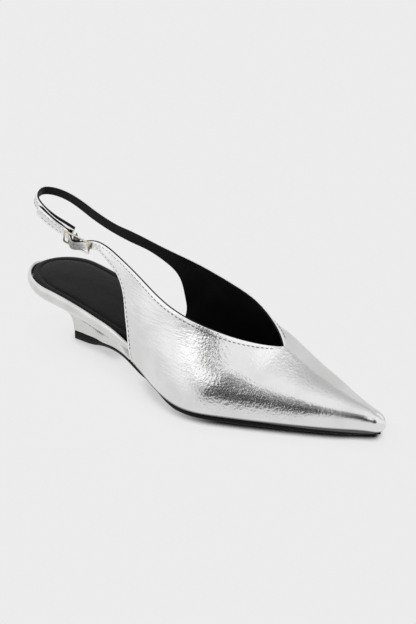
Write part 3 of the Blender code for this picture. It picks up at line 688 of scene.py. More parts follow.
# The leather's cut edge lies a little below the lining's, and towards the end of the inner half, the
# sling, several times further; the turned edge gets a painted highlight, and the stitch rows run along it.
LEATHER_CUT = 0.0003
END_BARE = (0.0, 4.0)
END_BARE_FROM = (0.026, 0.010)
BRIGHT_EDGE = (0.0011, 0.0017)
STITCH_FROM_EDGE = 0.0024
STITCH_FROM_STRAP_EDGE = 0.0011
SEAM_WIDTH = (0.00030, 0.00080)
SEAM_DEPTH = 0.00025
FAR_FROM_EDGE = 0.01


def wall_controls(foot, top, side_lean, top_lean, outward, top_handle=TOP_HANDLE, roundness=0.0):
    """Four control points of a wall section: upright at its foot, leaning in at its top."""
    run = top[0] - foot[0]
    reach = np.hypot(top[1] - foot[1], top[2] - foot[2])
    low, high = np.radians(side_lean), np.radians(top_lean)
    lift = np.array([run, outward * reach * np.sin(low), reach * np.cos(low)])
    fall = np.array([-run, outward * reach * np.sin(high), -reach * np.cos(high)])
    forward = np.array([roundness, 0, 0])
    return np.stack([foot, foot + FOOT_HANDLE * lift + forward, top + top_handle * fall + forward, top])


def spot(share, y, height):
    """Point from its shares along the shoe, across it and of the instep's height."""
    return np.array([along(share), across(y), height * INSTEP_HEIGHT])


def sole_foot(share, side):
    """Foot of the upper on the outsole's outer or inner edge, drawn to the middle round the toe."""
    edge = read(OUTSOLE, side, [share])[0]
    middle = (read(OUTSOLE, OUTER_EDGE, [share])[0] + read(OUTSOLE, INNER_EDGE, [share])[0]) / 2
    width = round_end(np.array(FOOT_TIP - share), TOE_ROUND)
    return np.array([along(share), across(middle + (edge - middle) * width), sole_top(share) + GAP])


def half_sections(side, quarter, back_edge, strap):
    """Control points of every section of one half of the upper, from the toe to the strap's end."""
    outward = -1 if side == OUTER_EDGE else 1
    rows = []
    for foot, ridge, y, height, roundness, lean, slope, handle in VAMP:
        top = spot(ridge, y, height)
        width = outward * round_end(FOOT_TIP - foot, TOE_ROUND)
        rows.append(wall_controls(sole_foot(foot, side), top, lean, 90 - slope, width, handle, roundness))
    for foot, top_share, y, height, lean, top_lean in quarter:
        top = spot(top_share, y, height)
        rows.append(wall_controls(sole_foot(foot, side), top, lean, top_lean, outward))
    for low, low_y, low_z, high, high_y, high_z, lean, top_lean in back_edge:
        top = spot(high, high_y, high_z)
        rows.append(wall_controls(spot(low, low_y, low_z), top, lean, top_lean, outward))
    for top, fall in strap:
        rows.append(np.stack([top + fall * share for share in (1, 2 / 3, 1 / 3, 0)]))
    return np.array(rows)


def sling_rows():
    """Top points and falls of the heel sling, which stands square on its tilted plane and sags a bit."""
    foot_along, foot_height = SLING_FOOT
    fall = -np.array([SLING_RISE, 0, 1]) / np.hypot(SLING_RISE, 1)
    rows = []
    for share, y, width, lift in SLING:
        z = foot_height * INSTEP_HEIGHT + SLING_RISE * (foot_along - share) * LENGTH + lift
        rows.append((np.array([along(share), across(y), z]), width * fall))
    return rows


def buckled_rows():
    """Top points and falls of the short strap that runs through the slide to its tail."""
    rows = []
    for share, y, height, width, tilt in BUCKLED_STRAP:
        lean = np.radians(tilt)
        rows.append((spot(share, y, height), -width * np.array([np.sin(lean), 0, np.cos(lean)])))
    return rows


def running_length(points):
    """Length of each line of points up to each of them: the sum of its steps."""
    steps = np.linalg.norm(np.diff(points, axis=-2), axis=-1)
    return np.concatenate([np.zeros_like(steps[..., :1]), np.cumsum(steps, axis=-1)], -1)


def unit(vectors):
    """Vectors over their own length."""
    return vectors / np.maximum(np.linalg.norm(vectors, axis=-1, keepdims=True), 1e-12)


def section_places(sections):
    """Distance of each section from the toe, measured halfway up the wall."""
    return running_length(sections.mean(axis=1))


def half_nets(sections, shared_places, counts):
    """Control points of one half at fine stations, splined through its sections; the top edge bends
    at the throat, so its control is splined ahead of it and behind it apart. Gives the stations too,
    and where throat, corner of the quarter and strap begin."""
    throat = len(VAMP) - 1
    corner = throat + len(OUTER_QUARTER)
    strap = corner + len(OUTER_BACK_EDGE)
    own = section_places(sections)
    places = own + shared_places[-1] - own[throat]
    places[:throat + 1] = shared_places
    stations = np.concatenate([
        np.interp(np.linspace(0, throat, counts[0]), np.arange(len(places)), places)[:-1],
        np.linspace(places[throat], places[corner], counts[1])[:-1],
        np.linspace(places[corner], places[strap], counts[2])[:-1],
        np.linspace(places[strap], places[-1], counts[3]),
    ])
    nets = spline(places, sections.reshape(len(places), -1), stations).reshape(-1, 4, 3)
    ahead = stations <= places[throat] + 1e-6
    nets[ahead, 3] = spline(places[:throat + 1], sections[:throat + 1, 3], stations[ahead])
    nets[~ahead, 3] = spline(places[throat:], sections[throat:, 3], stations[~ahead])
    return nets, stations, places[throat], places[corner], places[strap]


def wall_skin(nets, low, high):
    """Cubic curve of each station's four control points, read from low to high along it."""
    t = low[:, None] + (high - low)[:, None] * np.linspace(0, 1, WALL_LEVELS)
    weights = np.stack([(1 - t) ** 3, 3 * t * (1 - t) ** 2, 3 * t * t * (1 - t), t**3], -1)
    return np.einsum("slk,skc->slc", weights, nets)


def skin_normals(skin, outward):
    """Unit normals of a skin, away from the foot: cross product of its two directions."""
    return unit(np.cross(np.gradient(skin, axis=0), np.gradient(skin, axis=1)) * outward)


def share_ridge(normals):
    """Both halves take the mean of their normals along the ridge, where they meet."""
    ridge = normals[0][:RIDGE_STATIONS, -1] + normals[1][:RIDGE_STATIONS, -1]
    ridge[0] = ridge[1]
    for normal in normals:
        normal[:RIDGE_STATIONS, -1] = unit(ridge)


def crease_depth(skin, side):
    """Depth of the listed creases on one side: each a trough with a bell profile across its
    line, seen from the side, that fades towards both ends."""
    depth = np.zeros(skin.shape[:2])
    for crease_side, s0, h0, s1, h1, width, deep in CREASES:
        if crease_side != side:
            continue
        start = np.array([along(s0), h0 * INSTEP_HEIGHT])
        line = np.array([along(s1), h1 * INSTEP_HEIGHT]) - start
        away = skin[..., [0, 2]] - start
        t = (away @ line) / (line @ line)
        off = np.abs(away[..., 0] * line[1] - away[..., 1] * line[0]) / np.linalg.norm(line)
        depth += deep * np.exp(-((off / width) ** 2)) * ease(t, *CREASE_ENDS) * ease(1 - t, *CREASE_ENDS)
    return depth


def halfway_round(outer, inner, edge, inside, bulge):
    """Points of a half circle over a cut edge, from its outer to its inner corner."""
    turn = np.pi * np.arange(1, EDGE_STEPS + 1) / (EDGE_STEPS + 1)
    middle, arm = (outer + inner) / 2, (outer - inner) / 2
    rise = unit(edge - inside) * np.linalg.norm(arm, axis=1, keepdims=True) * bulge[:, None]
    return middle[:, None] + arm[:, None] * np.cos(turn)[:, None] + rise[:, None] * np.sin(turn)[:, None]


def shell(outers, inners, bulges):
    """Points and faces of a wall: outer skin, round top edge behind the throat, inner skin, round
    low edge, and the strap ends, for both halves."""
    points, faces = [], []
    first = 0
    for outer, inner, (low, high) in zip(outers, inners, bulges):
        top = halfway_round(outer[:, -1], inner[:, -1], outer[:, -1], outer[:, -2], high)
        foot = halfway_round(inner[:, 0], outer[:, 0], outer[:, 0], outer[:, 1], low)
        ring = np.concatenate([outer, top, inner[:, ::-1], foot], 1)
        rows, size = ring.shape[:2]
        wall = ring_faces(rows, size)
        station, place = wall[:, 0] // size, wall[:, 0] % size
        over_edge = (place >= WALL_LEVELS - 1) & (place < WALL_LEVELS + EDGE_STEPS)
        faces.append(first + wall[~(over_edge & (station < RIDGE_STATIONS - 1))])
        strap_end = np.roll(np.arange(size), EDGE_STEPS // 2)[cap_faces(size)]
        faces.append(first + (rows - 1) * size + strap_end)
        points.append(ring.reshape(-1, 3))
        first += rows * size
    return np.concatenate(points), np.concatenate(faces)


def inner_skins(skins, normals, depth):
    """Skins moved in along their normals. They stop short of the toe's tip: their first stations are
    drawn back, and the first of all is one upright line shared by both halves."""
    inners = [skin - depth * normal for skin, normal in zip(skins, normals)]
    last = RIDGE_STATIONS - 1
    back = int(TOE_BLOCK * last)
    nose = (inners[0][back] + inners[1][back]) / 2 + np.array([TOE_LINING_ROUND, 0, 0])
    shift = np.interp(np.arange(RIDGE_STATIONS), (1, last), (back, last))
    lower = np.floor(shift).astype(int)
    upper = np.minimum(lower + 1, last)
    part = (shift - lower)[:, None, None]
    for inner in inners:
        inner[:RIDGE_STATIONS] = inner[lower] * (1 - part) + inner[upper] * part
        inner[0] = nose
    return inners


outer_rows = half_sections(OUTER_EDGE, OUTER_QUARTER, OUTER_BACK_EDGE, buckled_rows())
inner_rows = half_sections(INNER_EDGE, INNER_QUARTER, INNER_BACK_EDGE, sling_rows())
vamp_places = section_places(outer_rows[:len(VAMP)])
halves = [
    half_nets(rows, vamp_places, counts)
    for rows, counts in ((outer_rows, OUTER_STATIONS), (inner_rows, INNER_STATIONS))
]


def trimmed_skins(radius, cut):
    """Outer skins of both halves and their normals, cut back at the top edge, and by a radius at their
    free edges to leave room for the rounding there, with how full each rounding is below and above.
    A cubic curve leaves its end at three times its handle, which turns a distance into a share."""
    skins, bulges = [], []
    for (nets, stations, throat, corner, _), end_bare in zip(halves, END_BARE):
        top_span = np.linalg.norm(3 * (nets[:, 3] - nets[:, 2]), axis=1)
        low_span = np.linalg.norm(3 * (nets[:, 1] - nets[:, 0]), axis=1)
        high = ease(stations, throat, throat + THROAT_FADE)
        free = ease(stations, corner - CORNER_FADE, corner + CORNER_FADE)
        low = FOOT_FULLNESS + (1 - FOOT_FULLNESS) * free
        bare_from, bare_to = (stations[-1] - distance for distance in END_BARE_FROM)
        bare = cut * (1 + end_bare * ease(stations, bare_from, bare_to))
        skins.append(wall_skin(nets, radius * low / low_span, 1 - (radius + bare) * high / top_span))
        bulges.append((low, high))
    normals = [skin_normals(skin, outward) for skin, outward in zip(skins, (-1, 1))]
    share_ridge(normals)
    return skins, normals, bulges


def quarter_to_strap(on_quarter, on_strap, stations, corner, strap_start):
    """A size at each station that eases from the quarter's to the strap's behind the corner."""
    return on_quarter + (on_strap - on_quarter) * ease(stations, corner, strap_start)


leather_skins, leather_normals, leather_bulges = trimmed_skins(LEATHER / 2, LEATHER_CUT)
leather_inners = inner_skins(leather_skins, leather_normals, LEATHER)
wall_share = np.linspace(0, 1, WALL_LEVELS)
crease_fade = ease(wall_share, 0, CREASE_CLEAR_LOW) * ease(1 - wall_share, 0, CREASE_CLEAR_TOP)
creased = [
    skin - (crease_depth(skin, side) * crease_fade)[..., None] * normal
    for skin, normal, side in zip(leather_skins, leather_normals, (-1, 1))
]
leather_points, leather_faces = shell(creased, leather_inners, leather_bulges)
leather_share = leather_points[:, 0] / LENGTH + MIDDLE
under_topline = np.exp(-(((leather_share - GRAIN_SHARE) / GRAIN_SPREAD) ** 2))
under_topline *= ease(leather_points[:, 2], *GRAIN_HEIGHT)
edge_distance, seam_distance, foot_distance = [], [], []
for skin, (_, stations, throat, corner, strap_start) in zip(creased, halves):
    up = running_length(skin)
    below_top = np.where(stations[:, None] > throat, up[:, -1:] - up, FAR_FROM_EDGE)
    edge = np.minimum(below_top, np.where(stations[:, None] > corner, up, FAR_FROM_EDGE))
    row = quarter_to_strap(STITCH_FROM_EDGE, STITCH_FROM_STRAP_EDGE, stations, corner, strap_start)
    beyond = quarter_to_strap(0, FAR_FROM_EDGE, stations, corner, strap_start)
    seam = np.abs(edge - row[:, None]) + beyond[:, None]
    rest = np.full((len(skin), WALL_LEVELS + 2 * EDGE_STEPS), FAR_FROM_EDGE)
    seam_distance.append(np.concatenate([seam, rest], 1).ravel())
    foot = np.where(stations[:, None] > corner, FAR_FROM_EDGE, up)
    under = rest.copy()
    under[stations <= corner, -EDGE_STEPS:] = 0
    foot_distance.append(np.concatenate([foot, under], 1).ravel())
    rest[:, :EDGE_STEPS] = 0
    rest[stations > corner, -EDGE_STEPS:] = 0
    edge_distance.append(np.concatenate([edge, rest], 1).ravel())

SILVER_BRIGHT = (0.84, 0.845, 0.84, 1)
SILVER_DULL = (0.77, 0.775, 0.765, 1)
# painted highlight along the leather's turned edges
PAINTED_EDGE_HIGHLIGHT = (0.96, 0.96, 0.955, 1)
SEAM_SHADE = (0.30, 0.30, 0.295, 1)
# painted shade darkens the leather where it turns under at the sole, and where the strap loops through the
# slide
FEATHER_SHADE = (0.10, 0.10, 0.098, 1)
FEATHER_WIDTH = (0.0002, 0.0018)
STRAP_LOOP = (-0.0800, -0.0190, 0.0750)
LOOP_REACH = (0.0040, 0.0095)
LOOP_SHADE = (0.34, 0.34, 0.335, 1)
leather_finish, foil_colour, foil_relief = silver_foil(
    "silver_foil_leather", SILVER_BRIGHT, SILVER_DULL, "pebble", "wrinkle")
edge_highlight = 1 - leather_finish.attribute("edge").ramp(*BRIGHT_EDGE)
pulled = 1 - leather_finish.attribute("seam").ramp(*SEAM_WIDTH)
turned = 1 - leather_finish.attribute("foot").ramp(*FEATHER_WIDTH)
loop_distance = leather_finish.start.node(
    "VectorMath", {"operation": "DISTANCE"}, {0: leather_finish.place, 1: STRAP_LOOP}, out="Value")
looped = 1 - loop_distance.ramp(*LOOP_REACH)
# base colour with painted light: a painted highlight on the turned edge, painted shade in the seam groove,
# where the upper turns under and where the strap loops through the slide
edged = pulled.blend(edge_highlight.blend(foil_colour, PAINTED_EDGE_HIGHLIGHT), SEAM_SHADE)
leather_finish.feed("Base Color", looped.blend(turned.blend(edged, FEATHER_SHADE), LOOP_SHADE))
leather_finish.feed("Normal", leather_finish.relief(1 - pulled, SEAM_DEPTH, foil_relief))
leather_marks = {
    "pebble": np.interp(leather_share, *zip(*PEBBLE)) * (1 + GRAIN_UNDER_TOPLINE * under_topline),
    "wrinkle": np.interp(leather_share, *zip(*WRINKLE)),
    "edge": np.concatenate(edge_distance),
    "seam": np.concatenate(seam_distance),
    "foot": np.concatenate(foot_distance),
}
leather = new_piece("upper_leather", leather_points, leather_faces, leather_finish.material,
                    LEATHER_SHARP, leather_marks)
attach(leather, "root")
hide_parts("upper")


# Lining. Black leather glued inside the upper and the straps and trimmed just above the silver
# leather's cut edge, so that it shows as a thin dark line along it.
LINING_CLEARANCE = 0.00003
# grains per metre of sheen and leather grain, height of the grain
LINING_SHEEN = 60
LINING_GRAIN, LINING_GRAIN_HEIGHT = 1800, 0.00004

lining_skins, lining_normals, lining_bulges = trimmed_skins((WALL - LEATHER) / 2, 0.0)
lining_outers = inner_skins(lining_skins, lining_normals, LEATHER + LINING_CLEARANCE)
lining_inners = inner_skins(lining_skins, lining_normals, WALL)
for inner in lining_inners:
    inner[0] -= np.array([2 * (WALL - LEATHER), 0, 0])
BLACK_LINING = (0.008, 0.008, 0.009, 1)
SHEEN_LINING = (0.016, 0.016, 0.017, 1)
lining_finish = Finish("black_lining_leather", Metallic=0.0, Specular_IOR_Level=0.18)
lining_cloud = lining_finish.noise(LINING_SHEEN, 3)
lining_grain = lining_finish.cells(LINING_GRAIN)
lining_finish.feed("Base Color", lining_cloud.ramp(0.4, 0.8).blend(BLACK_LINING, SHEEN_LINING))
lining_finish.feed("Roughness", 0.50 + 0.12 * lining_cloud)
lining_finish.feed("Normal", lining_finish.relief(lining_grain, LINING_GRAIN_HEIGHT))
lining_shell = shell(lining_outers, lining_inners, lining_bulges)
lining = new_piece("upper_lining", *lining_shell, lining_finish.material, LEATHER_SHARP)
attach(lining, "root")


# Stitching. One row of grey thread runs along the top edge, and one along the back edge of each
# quarter and the lower edge of each strap, sewn through leather and lining.
STITCH_PITCH = 0.0030
STITCH_LENGTH = 0.0024
STITCH_RADIUS = 0.00034
STRAP_STITCH_RADIUS = 0.00018
STITCH_SINK = 0.35
STITCH_BLUNT = 0.05
STITCH_ROUND = 6
STITCH_STEPS = 5
# how far behind the throat and above the quarter's corner the rows begin
TOP_ROW_START = 0.003
BACK_ROW_START = 0.004
# grains per metre of the twisted thread, and their height
THREAD_TWIST, THREAD_TWIST_HEIGHT = 2400, 0.00006


def row_from_edge(skin, normal, distance):
    """Points and normals at a distance from the skin's first edge, found along each station's wall by
    its running length."""
    reach = running_length(skin)
    level = np.clip((reach < distance[:, None]).sum(1) - 1, 0, WALL_LEVELS - 2)
    station = np.arange(len(skin))
    before, after = reach[station, level], reach[station, level + 1]
    part = ((distance - before) / (after - before))[:, None]
    return tuple(
        grid[station, level] * (1 - part) + grid[station, level + 1] * part for grid in (skin, normal)
    )


def stitch_row(path, normal, radius):
    """Capsules laid along a path at an even pitch: round sections of the radius there, swollen in the
    middle and sunk a share of the radius into the leather."""
    reach = running_length(path)
    middles = np.arange(STITCH_PITCH, reach[-1] - STITCH_PITCH, STITCH_PITCH)
    place, ahead, up = (
        np.stack([np.interp(where, reach, column) for column in grid.T], 1)
        for where, grid in ((middles, path), (middles + STITCH_LENGTH / 2, path), (middles, normal))
    )
    run = unit(ahead - place)
    up = unit(up - run * (up * run).sum(1, keepdims=True)) * np.interp(middles, reach, radius)[:, None]
    axes = np.stack([run, np.cross(run, up), up], 1)
    t = np.linspace(-1, 1, STITCH_STEPS)[:, None]
    turn = 2 * np.pi * np.arange(STITCH_ROUND) / STITCH_ROUND
    size = np.sqrt(np.maximum(1 - t**4, STITCH_BLUNT))
    capsule = (t * STITCH_LENGTH / 2, size * np.cos(turn), size * np.sin(turn) - STITCH_SINK)
    stitch, stitch_faces = loft(np.stack(np.broadcast_arrays(*capsule), -1))
    points = place[:, None] + np.einsum("pk,skc->spc", stitch, axes)
    faces = len(stitch) * np.arange(len(place))[:, None, None] + stitch_faces
    return points.reshape(-1, 3), faces.reshape(-1, 4)


thread_points, thread_faces = [], []
thread_count = 0
for skin, normal, (_, stations, throat, corner, strap_start) in zip(creased, leather_normals, halves):
    distance = quarter_to_strap(STITCH_FROM_EDGE, STITCH_FROM_STRAP_EDGE, stations, corner, strap_start)
    radius = quarter_to_strap(STITCH_RADIUS, STRAP_STITCH_RADIUS, stations, corner, strap_start)
    for order, start in ((-1, throat + TOP_ROW_START), (1, corner + BACK_ROW_START)):
        path, up = row_from_edge(skin[:, ::order], normal[:, ::order], distance)
        sewn = stations > start
        row_points, row_faces = stitch_row(path[sewn], up[sewn], radius[sewn])
        thread_points.append(row_points)
        thread_faces.append(row_faces + thread_count)
        thread_count += len(row_points)
THREAD_LIGHT = (0.17, 0.17, 0.167, 1)
THREAD_DARK = (0.06, 0.06, 0.06, 1)
thread_finish = Finish("grey_thread", Metallic=0.0, Specular_IOR_Level=0.4)
thread_twist = thread_finish.noise(THREAD_TWIST, 2)
thread_finish.feed("Base Color", thread_twist.ramp(0.35, 0.65).blend(THREAD_DARK, THREAD_LIGHT))
thread_finish.feed("Roughness", 0.55 + 0.2 * thread_twist)
thread_finish.feed("Normal", thread_finish.relief(thread_twist, THREAD_TWIST_HEIGHT))
thread = new_piece("stitching", np.concatenate(thread_points), np.concatenate(thread_faces),
                   thread_finish.material)
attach(thread, "root")


# Slide of the buckle. Thin wire of pale plated metal, bent to a rectangle with rounded corners and
# closed by a bar across its middle; the strap runs through it and no pin holds it.
SLIDE_PLACE = (0.2020, -0.185, 2.000)
SLIDE_LENGTH = 0.0210
SLIDE_HEIGHT = 0.0088
SLIDE_BAR = 0.0011
SLIDE_DROP = 0.0003
SLIDE_TILT = 9
SLIDE_CORNER = 0.0011
SLIDE_STEPS = 160
WIRE_ROUND = 14
WIRE_SQUARE = 2.8
# grains per metre of rubbing and tooth, height of the tooth
PLATE_RUB = 420
PLATE_TOOTH, PLATE_TOOTH_HEIGHT = 2600, 0.000008

slide_tilt = np.radians(SLIDE_TILT)
slide_run = np.array([np.cos(slide_tilt), 0, -np.sin(slide_tilt)])
slide_rise = np.array([np.sin(slide_tilt), 0, np.cos(slide_tilt)])
slide_out = np.array([0.0, 1.0, 0.0])
slide_centre = spot(*SLIDE_PLACE) - np.array([0, 0, SLIDE_DROP])


def wire_section(count):
    """Squarish round section: a superellipse |a|^n + |b|^n = 1 of the wire's half width."""
    turn = 2 * np.pi * np.arange(count) / count
    a = np.sign(np.cos(turn)) * np.abs(np.cos(turn)) ** (2 / WIRE_SQUARE)
    b = np.sign(np.sin(turn)) * np.abs(np.sin(turn)) ** (2 / WIRE_SQUARE)
    return a * SLIDE_BAR / 2, b * SLIDE_BAR / 2


def rounded_rectangle(half_length, half_height, corner, steps):
    """Points and outward directions round a rectangle whose corners are quarter circles."""
    quarter = np.linspace(0, np.pi / 2, steps // 4)
    turn = np.concatenate([quarter + k * np.pi / 2 for k in range(4)])
    out = np.stack([np.cos(turn), np.sin(turn)], 1)
    side = np.repeat(np.array([[1, 1], [-1, 1], [-1, -1], [1, -1]]), len(quarter), axis=0)
    middle = side * np.array([half_length - corner, half_height - corner])
    return middle + corner * out, out


half_length, half_height = (SLIDE_LENGTH - SLIDE_BAR) / 2, (SLIDE_HEIGHT - SLIDE_BAR) / 2
path, outwards = rounded_rectangle(half_length, half_height, SLIDE_CORNER, SLIDE_STEPS)
wire_a, wire_b = wire_section(WIRE_ROUND)
plan = path[:, None] + outwards[:, None] * wire_a[:, None]
wire_middle = slide_centre + wire_b[:, None] * slide_out
wire_rings = wire_middle + plan[..., :1] * slide_run + plan[..., 1:] * slide_rise
bar_section = wire_middle + wire_a[:, None] * slide_run
bar_points, bar_faces = loft(np.stack([bar_section + end * half_height * slide_rise for end in (-1, 1)]))
wire_points = wire_rings.reshape(-1, 3)
wire_faces = ring_faces(len(path), WIRE_ROUND, closed=True)
slide_points = np.concatenate([wire_points, bar_points])
slide_faces = np.concatenate([wire_faces, len(wire_points) + bar_faces])
PALE_PLATE = (0.70, 0.635, 0.51, 1)
RUBBED_PLATE = (0.55, 0.48, 0.37, 1)
# the lower bar is bright with a painted reflection of the pale floor, and the stretch between the bars has
# painted shade from the strap: heights of the changes
PAINTED_REFLECTION_PLATE = (0.88, 0.87, 0.84, 1)
PLATE_BRIGHT_HEIGHT = (0.0735, 0.0757)
SHADED_PLATE = (0.20, 0.145, 0.10, 1)
PLATE_SHADE_HEIGHT = (0.0755, 0.0805)
plate_finish = Finish("pale_plated_wire", Metallic=1.0)
plate_rub = plate_finish.noise(PLATE_RUB, 3)
plate_height = plate_finish.start.node("SeparateXYZ", {}, {0: plate_finish.place}, out=2)
plate_colour = plate_rub.ramp(0.4, 0.75).blend(PALE_PLATE, RUBBED_PLATE)
plate_colour = plate_height.ramp(*PLATE_SHADE_HEIGHT).blend(SHADED_PLATE, plate_colour)
plate_finish.feed("Base Color", plate_height.ramp(*PLATE_BRIGHT_HEIGHT).blend(PAINTED_REFLECTION_PLATE, plate_colour))
plate_finish.feed("Roughness", 0.14 + 0.16 * plate_rub)
plate_tooth = plate_finish.noise(PLATE_TOOTH, 2)
plate_finish.feed("Normal", plate_finish.relief(plate_tooth, PLATE_TOOTH_HEIGHT))
slide = new_piece("buckle_wire", slide_points, slide_faces, plate_finish.material)
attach(slide, "root")
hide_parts("buckle_slide")


# Elastic. A short woven band is folded round the slide's middle bar and sewn to the end of the
# sling, so that the strap gives when the shoe is put on.
# along, across
ELASTIC = (
    (0.1872, -0.126), (0.1940, -0.148), (0.2005, -0.165), (0.2074, -0.175),
    (0.2086, -0.186), (0.2060, -0.199), (0.2005, -0.203), (0.1940, -0.187), (0.1885, -0.151),
)
ELASTIC_WIDTH = 0.0056
ELASTIC_THICKNESS = 0.0009
ELASTIC_STATIONS = 120
ELASTIC_LEVELS = 12
ELASTIC_SQUARE = 8
ELASTIC_EDGE = 0.02
ELASTIC_SHARP = 60
ELASTIC_RIB = 0.0006
RIB_SHARE = 0.6
ELASTIC_WEAVE_HEIGHT = 0.00010

elastic_table = np.array(ELASTIC)
elastic_knots = np.stack([along(elastic_table[:, 0]), across(elastic_table[:, 1])], 1)
elastic_path = resampled(elastic_knots, ELASTIC_STATIONS)
elastic_run = unit(np.gradient(elastic_path, axis=0))
elastic_side = np.column_stack([-elastic_run[:, 1], elastic_run[:, 0], np.zeros(ELASTIC_STATIONS)])
elastic_fall = np.tan(slide_tilt) * (elastic_path[:, 0] - along(SLIDE_PLACE[0]))
elastic_line = np.column_stack([elastic_path, SLIDE_PLACE[2] * INSTEP_HEIGHT - elastic_fall])
level = np.linspace(-1, 1, ELASTIC_LEVELS)
rise = level * ELASTIC_WIDTH / 2
thick = np.sqrt(np.maximum(1 - np.abs(level) ** ELASTIC_SQUARE, ELASTIC_EDGE)) * ELASTIC_THICKNESS / 2
elastic_rings = rings_of([
    elastic_line[:, None] + sign * elastic_side[:, None] * thick[:, None] + rise[:, None] * slide_rise
    for sign in (-1, 1)
])
ELASTIC_GREY = (0.30, 0.30, 0.31, 1)
ELASTIC_DARK = (0.10, 0.10, 0.105, 1)
elastic_finish = Finish("woven_elastic", Metallic=0.0, Specular_IOR_Level=0.3)
rib, yarn = (
    elastic_finish.start.math("SINE", elastic_finish.attribute(label) * (2 * np.pi / ELASTIC_RIB))
    for label in ("reach", "rise")
)
rib = rib * 0.5 + 0.5
weave = rib * RIB_SHARE + (yarn * 0.5 + 0.5) * (1 - RIB_SHARE)
elastic_finish.feed("Base Color", weave.blend(ELASTIC_DARK, ELASTIC_GREY))
elastic_finish.feed("Roughness", 0.70 + 0.15 * rib)
elastic_finish.feed("Normal", elastic_finish.relief(weave, ELASTIC_WEAVE_HEIGHT))
elastic = new_piece("elastic_band", *loft(elastic_rings), elastic_finish.material, ELASTIC_SHARP, {
    "reach": np.repeat(running_length(elastic_line), 2 * ELASTIC_LEVELS),
    "rise": np.tile(np.concatenate([rise, rise[::-1]]), ELASTIC_STATIONS),
})
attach(elastic, "root")
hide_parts("elastic_loop")


# Floor. A pale sheet with an even glow of its own. A painted contact shadow darkens it only where the sole
# comes close: fully from the ball on, in a narrower line at the tip of the toe, and less under the heel.
FLOOR_RADIUS = 9.0
FLOOR_DROP = 0.0002
FLOOR_SIDES = 96
FLOOR_BASE = (0.02, 0.02, 0.02, 1)
FLOOR_PALE = (0.822, 0.822, 0.822, 1)
# shade close to the sole and a weak one round it: reach, openness to the light over which it clears,
# places along over which it deepens from its least share, and over which it narrows at the tip
CONTACT_SHADE = (0.006, 0.006, 0.006, 1)
CONTACT_REACH = (0.011, 0.018)
CONTACT_EDGE = (0.50, 0.84)
CONTACT_FROM = (0.0, 0.045)
CONTACT_LEAST = 0.25
TIP_LIFT = 0.11
TIP_FROM = (0.108, 0.126)
NEARBY_SHADE = 0.15
round_floor = 2 * np.pi * np.arange(FLOOR_SIDES) / FLOOR_SIDES
floor_points = np.stack([FLOOR_RADIUS * np.cos(round_floor), FLOOR_RADIUS * np.sin(round_floor),
                         np.full(FLOOR_SIDES, -FLOOR_DROP)], 1)
floor_finish = Finish("pale_floor", Base_Color=FLOOR_BASE, Metallic=0.0, Roughness=0.9,
                      Specular_IOR_Level=0.0, Emission_Strength=1.0)
contact, nearby = (
    floor_finish.start.node("AmbientOcclusion", {"samples": 16}, {"Distance": reach}, out="AO")
    for reach in CONTACT_REACH
)
floor_along = floor_finish.start.node("SeparateXYZ", {}, {0: floor_finish.place}, out=0)
# painted contact shadow: it deepens along the shoe from its least share and is eased at the toe's tip,
# with a weak painted shade round it
pressed = CONTACT_LEAST + (1 - CONTACT_LEAST) * floor_along.ramp(*CONTACT_FROM)
contact = contact + TIP_LIFT * floor_along.ramp(*TIP_FROM)
daylight = (1 - (1 - contact.ramp(*CONTACT_EDGE)) * pressed) * (1 - NEARBY_SHADE + nearby * NEARBY_SHADE)
floor_finish.feed("Emission Color", daylight.blend(CONTACT_SHADE, FLOOR_PALE))
floor_mesh = bpy.data.meshes.new("floor")
floor_mesh.from_pydata(floor_points.tolist(), [], [list(range(FLOOR_SIDES))])
floor_mesh.materials.append(floor_finish.material)
floor = bpy.data.objects.new("floor", floor_mesh)
floor.visible_glossy = False
bpy.context.scene.collection.objects.link(floor)


# Overhead panel. One large soft light high over the inner side, which shows on the black leathers,
# the thread and the elastic; the foil does not mirror it.
PANEL_AZIMUTH = 118
PANEL_ELEVATION = 77
PANEL_SOFTNESS = 14
PANEL_STRENGTH = 2.79
panel_data = bpy.data.lights.new("overhead_panel", "SUN")
panel_data.energy = PANEL_STRENGTH
panel_data.angle = np.radians(PANEL_SOFTNESS)
panel = bpy.data.objects.new("overhead_panel", panel_data)
panel_turn, panel_lift = np.radians(PANEL_AZIMUTH), np.radians(PANEL_ELEVATION)
panel_level = np.cos(panel_lift)
panel_x, panel_y = panel_level * np.cos(panel_turn), panel_level * np.sin(panel_turn)
panel_towards = Vector((panel_x, panel_y, np.sin(panel_lift)))
panel.rotation_mode = "QUATERNION"
panel.rotation_quaternion = panel_towards.to_track_quat("Z", "Y")
panel.visible_glossy = False
bpy.context.scene.collection.objects.link(panel)


# Studio. What the foil mirrors: pale walls over a slightly dimmer table, with soft bright and dim
# fields round the shoe that draw the light and dark bands on it.
STUDIO_LEVEL = 0.93
TABLE_LEVEL = 0.82
HORIZON = (-6, 6)
STUDIO_DIMMEST = 0.04
STUDIO_FILL = (0.12, 0.12, 0.12, 1)
STUDIO_SEEN = (0.838, 0.838, 0.838, 1)
PATCH_EDGE = (0.3, 1.7)
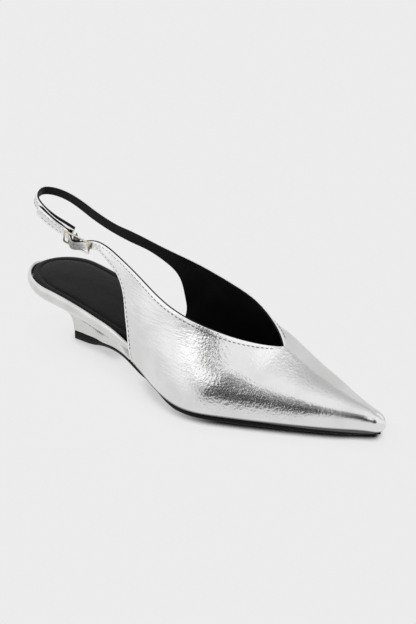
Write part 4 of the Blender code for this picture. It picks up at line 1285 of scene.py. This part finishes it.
# azimuth and elevation in degrees, half widths of both, slant, gain
STUDIO_PATCHES = (
    (-99, 20, 15, 10, 1.0, 0.50),
    (-128, -2, 22, 13, 0.0, 0.14),
    (-98, 0, 13, 11, 0.0, -0.20),
    (-77, -7, 13.5, 18, 0.35, -0.86),
    (-67, 19, 11, 24, 0.0, -0.74),
    (84, 30, 30, 60, 0.0, -0.20),
    (80, 54, 30, 8, 0.0, -0.20),
    (26, 57, 24, 7, 0.0, 0.26),
)
world = bpy.data.worlds.new("studio")
bpy.context.scene.world = world
world.use_nodes = True
sky = Wire(world.node_tree)
direction = sky.node("TexCoord", {}, {}, out="Generated")
dir_x, dir_y, dir_z = (sky.node("SeparateXYZ", {}, {0: direction}, out=axis) for axis in range(3))
azimuth = sky.math("ARCTAN2", dir_y, dir_x) * (180 / np.pi)
elevation = sky.math("ARCSINE", dir_z) * (180 / np.pi)
light = TABLE_LEVEL + (STUDIO_LEVEL - TABLE_LEVEL) * elevation.ramp(*HORIZON)
for patch_azimuth, patch_elevation, wide, high, slant, gain in STUDIO_PATCHES:
    up = elevation - patch_elevation
    sideways = azimuth - patch_azimuth - up * slant
    away = (sideways / wide) ** 2 + (up / high) ** 2
    light = light + (1 - away.ramp(*PATCH_EDGE)) * gain
light = sky.math("MAXIMUM", light, STUDIO_DIMMEST)
mirrored = sky.node("CombineColor", {}, {0: light, 1: light, 2: light})
spread = sky.node("LightPath", {}, {}, out="Is Diffuse Ray").blend(mirrored, STUDIO_FILL)
shown = sky.node("LightPath", {}, {}, out="Is Camera Ray").blend(spread, STUDIO_SEEN)
world.node_tree.links.new(shown.socket, world.node_tree.nodes["Background"].inputs["Color"])

bpy.context.scene.view_settings.view_transform = "Standard"
bpy.context.scene.view_settings.look = "None"


# Camera. It looks down on the outer side from ahead of the toe, through a long lens whose focal
# length is given in pixels of the picture.
CAMERA_PLACE = (0.55597, -0.77201, 0.58765)
CAMERA_AIM = (-0.01553, 0.03599, 0.02500)
FOCAL_PIXELS = 1770
IMAGE_HEIGHT = 624
SENSOR = 36.0
camera_data = bpy.data.cameras.new("camera")
camera_data.sensor_width = SENSOR
camera_data.lens = FOCAL_PIXELS * SENSOR / IMAGE_HEIGHT
camera = bpy.data.objects.new("camera", camera_data)
camera.location = CAMERA_PLACE
camera.rotation_mode = "QUATERNION"
camera.rotation_quaternion = (Vector(CAMERA_AIM) - Vector(CAMERA_PLACE)).to_track_quat("-Z", "Y")
bpy.context.scene.collection.objects.link(camera)
bpy.context.scene.camera = camera
